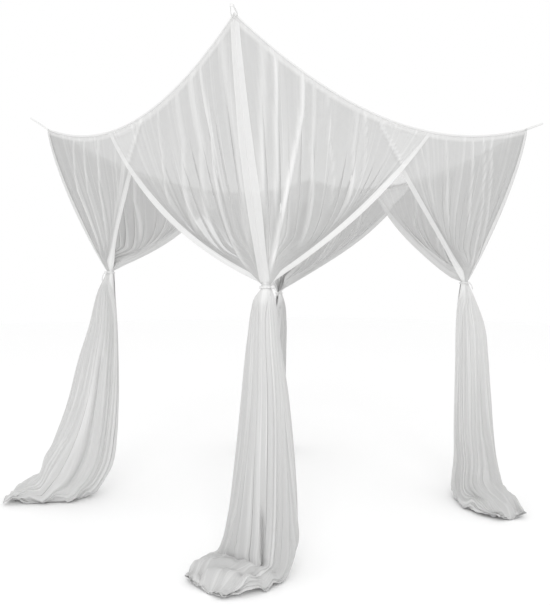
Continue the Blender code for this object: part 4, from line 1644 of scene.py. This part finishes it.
    def cover_and_white(self, layers: np.ndarray) -> tuple[np.ndarray, np.ndarray]:
        """How much of the light each place of the cloth stops, and how white it is, with painted
        light and shade on the gathered cloth.

        Args:
            layers: 0 for one layer and 1 for several, as rows x columns.

        Returns:
            The cover and the whiteness, as rows x columns.
        """
        layers = np.clip(layers, 0.0, 1.0)
        row = np.arange(len(layers))[:, None] - self.fan_rows
        gathered = ease(row / self.neck_blend_rows + 0.5)
        left, right = self.left.cover, self.right.cover
        fan_cover = left + (right - left) * ease(0.5 + 0.5 * self.u / CUT.corner_blend)
        least = fan_cover + (self.bundle_cover - fan_cover) * gathered
        cover = least + (self.folded_cover - least) * layers
        # Painted light and shade on the gathered cloth: whiter near the tie, darker low down,
        # lighter again where it lies on the floor.
        at_tie, low, at_floor = self.corner.bundle_painted_light
        down = row / self.lower_rows
        bundle = low + (at_tie - low) * (1.0 - ease(down))
        bundle = bundle + (at_floor - low) * ease(down * 3.0 - 2.1)
        evened = (bundle - self.bundle_evened * layers) * gathered
        return cover, np.clip(layers + evened, 0.0, 1.0)

    def show_overlap(self, points: np.ndarray, cover: np.ndarray, white: np.ndarray
                     ) -> tuple[np.ndarray, np.ndarray]:
        """Lighten the cloth where it laps the next curtain, as two clear layers look.

        Args:
            points: Points of the curtain, as rows x columns.
            cover: How much of the light each place stops.
            white: How white each place is.

        Returns:
            The cover and the whiteness.
        """
        on_fan = (np.arange(len(points)) <= self.fan_rows)[:, None]
        for index, side, wing in ((self.index, self.right, 1.0),
                                  (self.index - 1, self.left, -1.0)):
            along = level(side_heading(index) + 0.5 * math.pi)
            near = Curtain((self.index + int(wing)) % 4)
            line = np.array([near.fan_surface(np.array([-wing]), float(share))[0][0]
                             for share in np.linspace(1.0, 0.0, self.hem_samples)])
            hem_place = np.interp(points[..., 2], line[:, 2], line @ along)
            beyond = wing * (points @ along - hem_place)
            on_wing = (self.u * wing > CUT.corner_blend)[None, :] & on_fan
            inside = ease((beyond + 0.5 * self.lap_edge) / self.lap_edge)
            lapped = on_wing * inside
            cover = cover * (1.0 - self.lap_clear * lapped * (1.0 - white))
            white = white + self.lap_white * lapped * (1.0 - white)
            if side.outer * wing > 0.0:
                band = on_wing * (inside - ease((beyond - self.lap_band) / self.lap_edge))
                white = white + self.band_white * band * (1.0 - white)
                cover = cover + self.band_cover * band * (1.0 - cover)
        return cover, white


@dataclass(frozen=True)
class CornerTape:
    """Wide tape sewn down the outside of a curtain's corner, from the top to the tie."""

    columns: int = 9
    rows: int = 90
    stand_off: float = 0.0022
    start: float = 0.012
    end: float = 0.985

    def build(self, curtain: Curtain, tape: bpy.types.Material) -> bpy.types.Object:
        """Make the tape.

        Args:
            curtain: The curtain it is sewn to.
            tape: Its finish.

        Returns:
            The tape.
        """
        fan_length = curtain.fan_lengths()
        corner_length = float(fan_length[np.argmin(np.abs(curtain.u))])
        corner = np.abs(curtain.u) <= curtain.corner_share * 1.001
        rows, lengths = [], []
        for step in range(self.rows + 1):
            share = self.start + (self.end - self.start) * step / self.rows
            v = curtain.fan_places(share)[corner]
            v = np.linspace(v[0], v[-1], self.columns)
            cloth = curtain.fan_row(share, fan_length)[0][corner]
            picks = np.rint(np.linspace(0, len(cloth) - 1, self.columns)).astype(int)
            direction = curtain.fan_surface(v, share)[1]
            rows.append(cloth[picks] + direction * self.stand_off)
            lengths.append(share * corner_length)
        uv = flat_places(np.linspace(0.0, 1.0, self.columns), lengths)
        item = lay_sheet(np.array(rows), uv, {}, away_from(curtain.tie_centre()))
        name = curtain.corner.name
        return settle_mesh(item, f"corner_tape_strip_{name}", tape,
                           (f"corner_tape_{name}",))


# ---------------------------------------------------------------- ties and loops

@dataclass(frozen=True)
class Tie:
    """Ribbon round the neck of a curtain: a crumpled band, a knot and two free ends."""

    radius: float = 0.0252
    height: float = 0.008
    thickness: float = 0.0012
    segments: int = 96
    ripple: tuple[float, float] = (0.0007, 0.0005)
    edge_ripple: float = 0.0008
    crown: float = 0.0006
    knot_radius: float = 0.0085
    knot_shape: tuple[float, float, float] = (0.95, 1.15, 0.85)
    knot_seat: float = 0.9
    waist: float = 0.16
    waist_half: float = 0.22
    tail_length: float = 0.052
    tail_width: float = 0.009
    tail_thickness: float = 0.0009
    tail_cup: float = 0.0022
    tail_steps: int = 25
    tail_columns: int = 7
    droops: tuple[tuple[float, float], ...] = ((-1.0, 0.80), (1.0, 0.62))

    def build(self, curtain: Curtain, tape: bpy.types.Material) -> bpy.types.Object:
        """Make the tie.

        Args:
            curtain: The curtain it gathers.
            tape: Its finish.

        Returns:
            The tie, one object.
        """
        corner = curtain.corner
        centre = curtain.tie_centre()
        heading = math.radians(corner.knot)
        pieces = [self.make_band(centre, corner.seed), self.make_knot(centre, heading)]
        pieces += [self.make_tail(centre, heading, turn, droop) for turn, droop in self.droops]
        clear_selection()
        for piece in pieces:
            piece.select_set(True)
        bpy.context.view_layer.objects.active = pieces[0]
        bpy.ops.object.join()
        item = bpy.context.active_object
        return settle_mesh(item, f"tie_ribbon_{corner.name}", tape,
                           (f"tie_{corner.name}",))

    def seat(self, centre: np.ndarray, heading: float) -> np.ndarray:
        """Middle of the knot, pressed against the band."""
        return centre + level(heading) * (self.radius + self.knot_radius * self.knot_seat)

    def make_band(self, centre: np.ndarray, seed: float) -> bpy.types.Object:
        """Make the crumpled band round the neck.

        Args:
            centre: Middle of the tie.
            seed: Offset of its ripples.

        Returns:
            The band.
        """
        clear_selection()
        bpy.ops.mesh.primitive_cylinder_add(vertices=self.segments, radius=1.0, depth=2.0,
                                            end_fill_type="NOTHING")
        item = bpy.context.active_object
        bpy.ops.object.mode_set(mode="EDIT")
        bpy.ops.mesh.select_all(action="SELECT")
        bpy.ops.mesh.subdivide(number_cuts=6)
        bpy.ops.object.mode_set(mode="OBJECT")
        mesh = item.data
        flat = vertex_places(mesh)
        angle = np.arctan2(flat[:, 1], flat[:, 0])
        tall = flat[:, 2]
        ripple = (self.ripple[0] * np.sin(9.0 * angle + 2.5 * tall + seed)
                  + self.ripple[1] * np.sin(23.0 * angle - 3.0 * tall))
        edge = self.edge_ripple * np.sin(5.0 * angle + seed)
        radius = self.radius + ripple + self.crown * (1.0 - tall ** 2)
        placed = centre + level(angle) * radius[:, None]
        placed += up(0.5 * self.height * tall + edge)
        move_vertices(mesh, placed)
        write_cloth_uv(mesh, np.stack([0.5 + 0.5 * tall, angle * self.radius], axis=-1))
        return thicken(item, self.thickness, 1.0)

    def make_knot(self, centre: np.ndarray, heading: float) -> bpy.types.Object:
        """Make the knot: a small crumpled ball, flattened, with a groove where it wraps.

        Args:
            centre: Middle of the tie.
            heading: Direction of the knot.

        Returns:
            The knot.
        """
        clear_selection()
        bpy.ops.mesh.primitive_uv_sphere_add(segments=40, ring_count=22, radius=1.0)
        item = bpy.context.active_object
        mesh = item.data
        flat = vertex_places(mesh)
        fold = (1.0 + 0.07 * np.sin(7.0 * flat[:, 2] + 3.0 * flat[:, 0])
                + 0.05 * np.sin(9.0 * np.arctan2(flat[:, 1], flat[:, 0])))
        waist = 1.0 - self.waist * np.exp(-(flat[:, 2] / self.waist_half) ** 2)
        local = flat * (fold * waist)[:, None] * (np.array(self.knot_shape) * self.knot_radius)
        outward, side = level(heading), level(heading + 0.5 * math.pi)
        placed = (self.seat(centre, heading) + outward * local[:, :1] + side * local[:, 1:2]
                  + up(local[:, 2]))
        move_vertices(mesh, placed)
        write_cloth_uv(mesh, np.stack([0.5 + 0.5 * flat[:, 2], flat[:, 1] * 0.02], axis=-1))
        return item

    def make_tail(self, centre: np.ndarray, heading: float, turn: float, droop: float
                  ) -> bpy.types.Object:
        """Make one free end, a curling ribbon.

        Args:
            centre: Middle of the tie.
            heading: Direction of the knot.
            turn: -1 or 1 for its side of the knot.
            droop: How far it hangs, as a share of its length.

        Returns:
            The free end.
        """
        outward, sideways = level(heading), level(heading + 0.5 * math.pi)
        share = np.linspace(0.0, 1.0, self.tail_steps)
        run = self.tail_length * share
        spine = (self.seat(centre, heading)
                 + sideways * (turn * run * (0.62 - 0.25 * share))[:, None]
                 + outward * (0.25 * run * (1.0 - 0.4 * share))[:, None]
                 - up(droop * run * (0.25 + 0.75 * share)))
        half = 0.5 * self.tail_width * (0.7 + 0.3 * share)
        side = np.linspace(-1.0, 1.0, self.tail_columns)
        cup = self.tail_cup * (1.0 - side ** 2)[None, :] * (0.3 + share)[:, None]
        twist = (0.5 * share)[:, None] * side[None, :] * half[:, None]
        rows = (spine[:, None, :] + up(half[:, None] * side[None, :])
                + outward * (cup + twist)[..., None])
        item = lay_sheet(rows, flat_places(0.5 + 0.5 * side, run), {}, facing(outward))
        return thicken(item, self.tail_thickness, 0.0)


@dataclass(frozen=True)
class HangingLoop:
    """Ribbon loop at a top corner, with both ends sewn in and its bend round the hook."""

    ribbon: float = 0.009
    thickness: float = 0.0013
    base_half: float = 0.011
    tip_half: float = 0.0055
    start: float = -0.0073
    taper: float = 0.9
    curl: float = 0.0007
    leg_steps: int = 22
    bend_steps: int = 12
    columns: int = 9

    def outline(self, length: float) -> np.ndarray:
        """Middle line of one half of the ribbon.

        Args:
            length: From the corner to the tip of the loop.

        Returns:
            Rows of run along the loop and offset from its middle.
        """
        share = np.linspace(0.0, 1.0, self.leg_steps)
        run = self.start + share * (length - self.tip_half - self.start)
        offset = (self.base_half + (self.tip_half - self.base_half) * ease(share * self.taper)
                  / float(ease(self.taper)))
        angle = np.linspace(0.0, 0.5 * math.pi, self.bend_steps)[1:]
        bend_run = length - self.tip_half * (1.0 - np.sin(angle))
        bend_offset = self.tip_half * np.cos(angle)
        return np.stack([np.concatenate([run, bend_run]),
                         np.concatenate([offset, bend_offset])], axis=-1)

    def build(self, index: int, tape: bpy.types.Material) -> bpy.types.Object:
        """Make the loop.

        Args:
            index: Its corner.
            tape: Its finish.

        Returns:
            The loop.
        """
        corner = CORNERS[index]
        heading = math.radians(-135 + 90 * index)
        out, side = level(heading), level(heading + 0.5 * math.pi)
        length = math.hypot(corner.loop_reach, corner.loop_rise)
        outward = (out * corner.loop_reach + up(corner.loop_rise)) / length
        across = np.cross(outward, side)
        seat = corner_point(index) + up(0.5 * CUT.binding_height)
        half = self.outline(length)
        line = np.concatenate([half, half[-2::-1] * np.array([1.0, -1.0])])
        spine = seat + outward * line[:, :1] + side * line[:, 1:2]
        width = np.linspace(-1.0, 1.0, self.columns)
        curl = self.curl * (1.0 - width ** 2)[None, :]
        normal = np.gradient(spine, axis=0)
        normal = np.cross(normal / np.linalg.norm(normal, axis=1)[:, None], across)
        rows = (spine[:, None, :] + across * (0.5 * self.ribbon * width)[None, :, None]
                + normal[:, None, :] * curl[..., None])
        item = lay_sheet(rows, flat_places(0.5 + 0.5 * width, running(spine)), {},
                         away_from(seat + outward * 0.5 * length, rise=1.0))
        thicken(item, self.thickness, 0.0)
        return settle_mesh(item, f"hanging_ribbon_{corner.name}", tape,
                           (f"hanging_loop_{corner.name}",))


# ---------------------------------------------------------------- studio

@dataclass(frozen=True)
class Studio:
    """Camera, soft light and a plain pale floor."""

    eye: tuple[float, float, float] = (-2.1343, -2.5372, 1.0850)
    yaw: float = 40.55
    lens: float = 35.21
    film_width: float = 36.0
    far: float = 200.0
    floor_size: float = 60.0
    ambient: float = 1.0
    lamp_watts: float = 110.0
    lamp_size: float = 3.5
    lamp_place: tuple[float, float, float] = (-3.9, -4.6, 4.6)
    lamp_aim: tuple[float, float, float] = (0.0, 0.0, 1.0)
    clear_layers: int = 64

    def place_camera(self) -> None:
        """Stand the camera where the viewer stands, level and turned towards the net."""
        bpy.ops.object.camera_add(location=self.eye, rotation=(
            math.radians(90.0), 0.0, math.radians(-self.yaw)))
        camera = bpy.context.active_object
        camera.name = "viewer"
        camera.data.lens = self.lens
        camera.data.sensor_width = self.film_width
        camera.data.clip_end = self.far
        bpy.context.scene.camera = camera

    def light(self) -> None:
        """Fill the room with soft light and add one large lamp."""
        world = bpy.data.worlds.new("studio_air")
        bpy.context.scene.world = world
        world.use_nodes = True
        air = world.node_tree.nodes["Background"]
        air.inputs["Color"].default_value = (1.0, 1.0, 1.0, 1.0)
        air.inputs["Strength"].default_value = self.ambient
        bpy.ops.object.light_add(type="AREA", location=self.lamp_place)
        lamp = bpy.context.active_object
        lamp.name = "large_soft_lamp"
        lamp.data.energy = self.lamp_watts
        lamp.data.size = self.lamp_size
        aim = np.array(self.lamp_aim) - np.array(lamp.location)
        lamp.rotation_euler = (math.atan2(math.hypot(aim[0], aim[1]), -aim[2]), 0.0,
                               math.atan2(aim[1], aim[0]) - 0.5 * math.pi)
        scene = bpy.context.scene
        scene.view_settings.view_transform = "Standard"
        scene.cycles.transparent_max_bounces = self.clear_layers

    def lay_floor(self, finish: FloorFinish) -> None:
        """Lay the floor.

        Args:
            finish: Its finish.
        """
        clear_selection()
        bpy.ops.mesh.primitive_plane_add(size=self.floor_size, location=(0.0, 0.0, 0.0))
        floor = bpy.context.active_object
        floor.name = "studio_floor"
        floor.data.materials.append(finish.build())


def main() -> None:
    """Build the canopy in order and report each piece."""
    logging.basicConfig(level=logging.INFO, format="%(name)s: %(message)s")
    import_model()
    clear_selection()
    studio = Studio()
    studio.place_camera()
    net = NetFinish().build()
    tape = TapeFinish("woven_white_tape").build()
    light_tape = TapeFinish("light_corner_tape", cover=0.84).build()
    roof, binding = Roof().build(net, tape)
    LOG.info("%s and %s", roof.name, binding.name)
    for index in range(4):
        curtain = Curtain(index)
        strip = CornerTape().build(curtain, light_tape)
        cloth = curtain.build(net, [strip])
        tie = Tie().build(curtain, tape)
        loop = HangingLoop().build(index, tape)
        LOG.info("%s, %s, %s and %s", cloth.name, strip.name, tie.name, loop.name)
    studio.lay_floor(FloorFinish())
    studio.light()


if __name__ == "__main__":
    main()
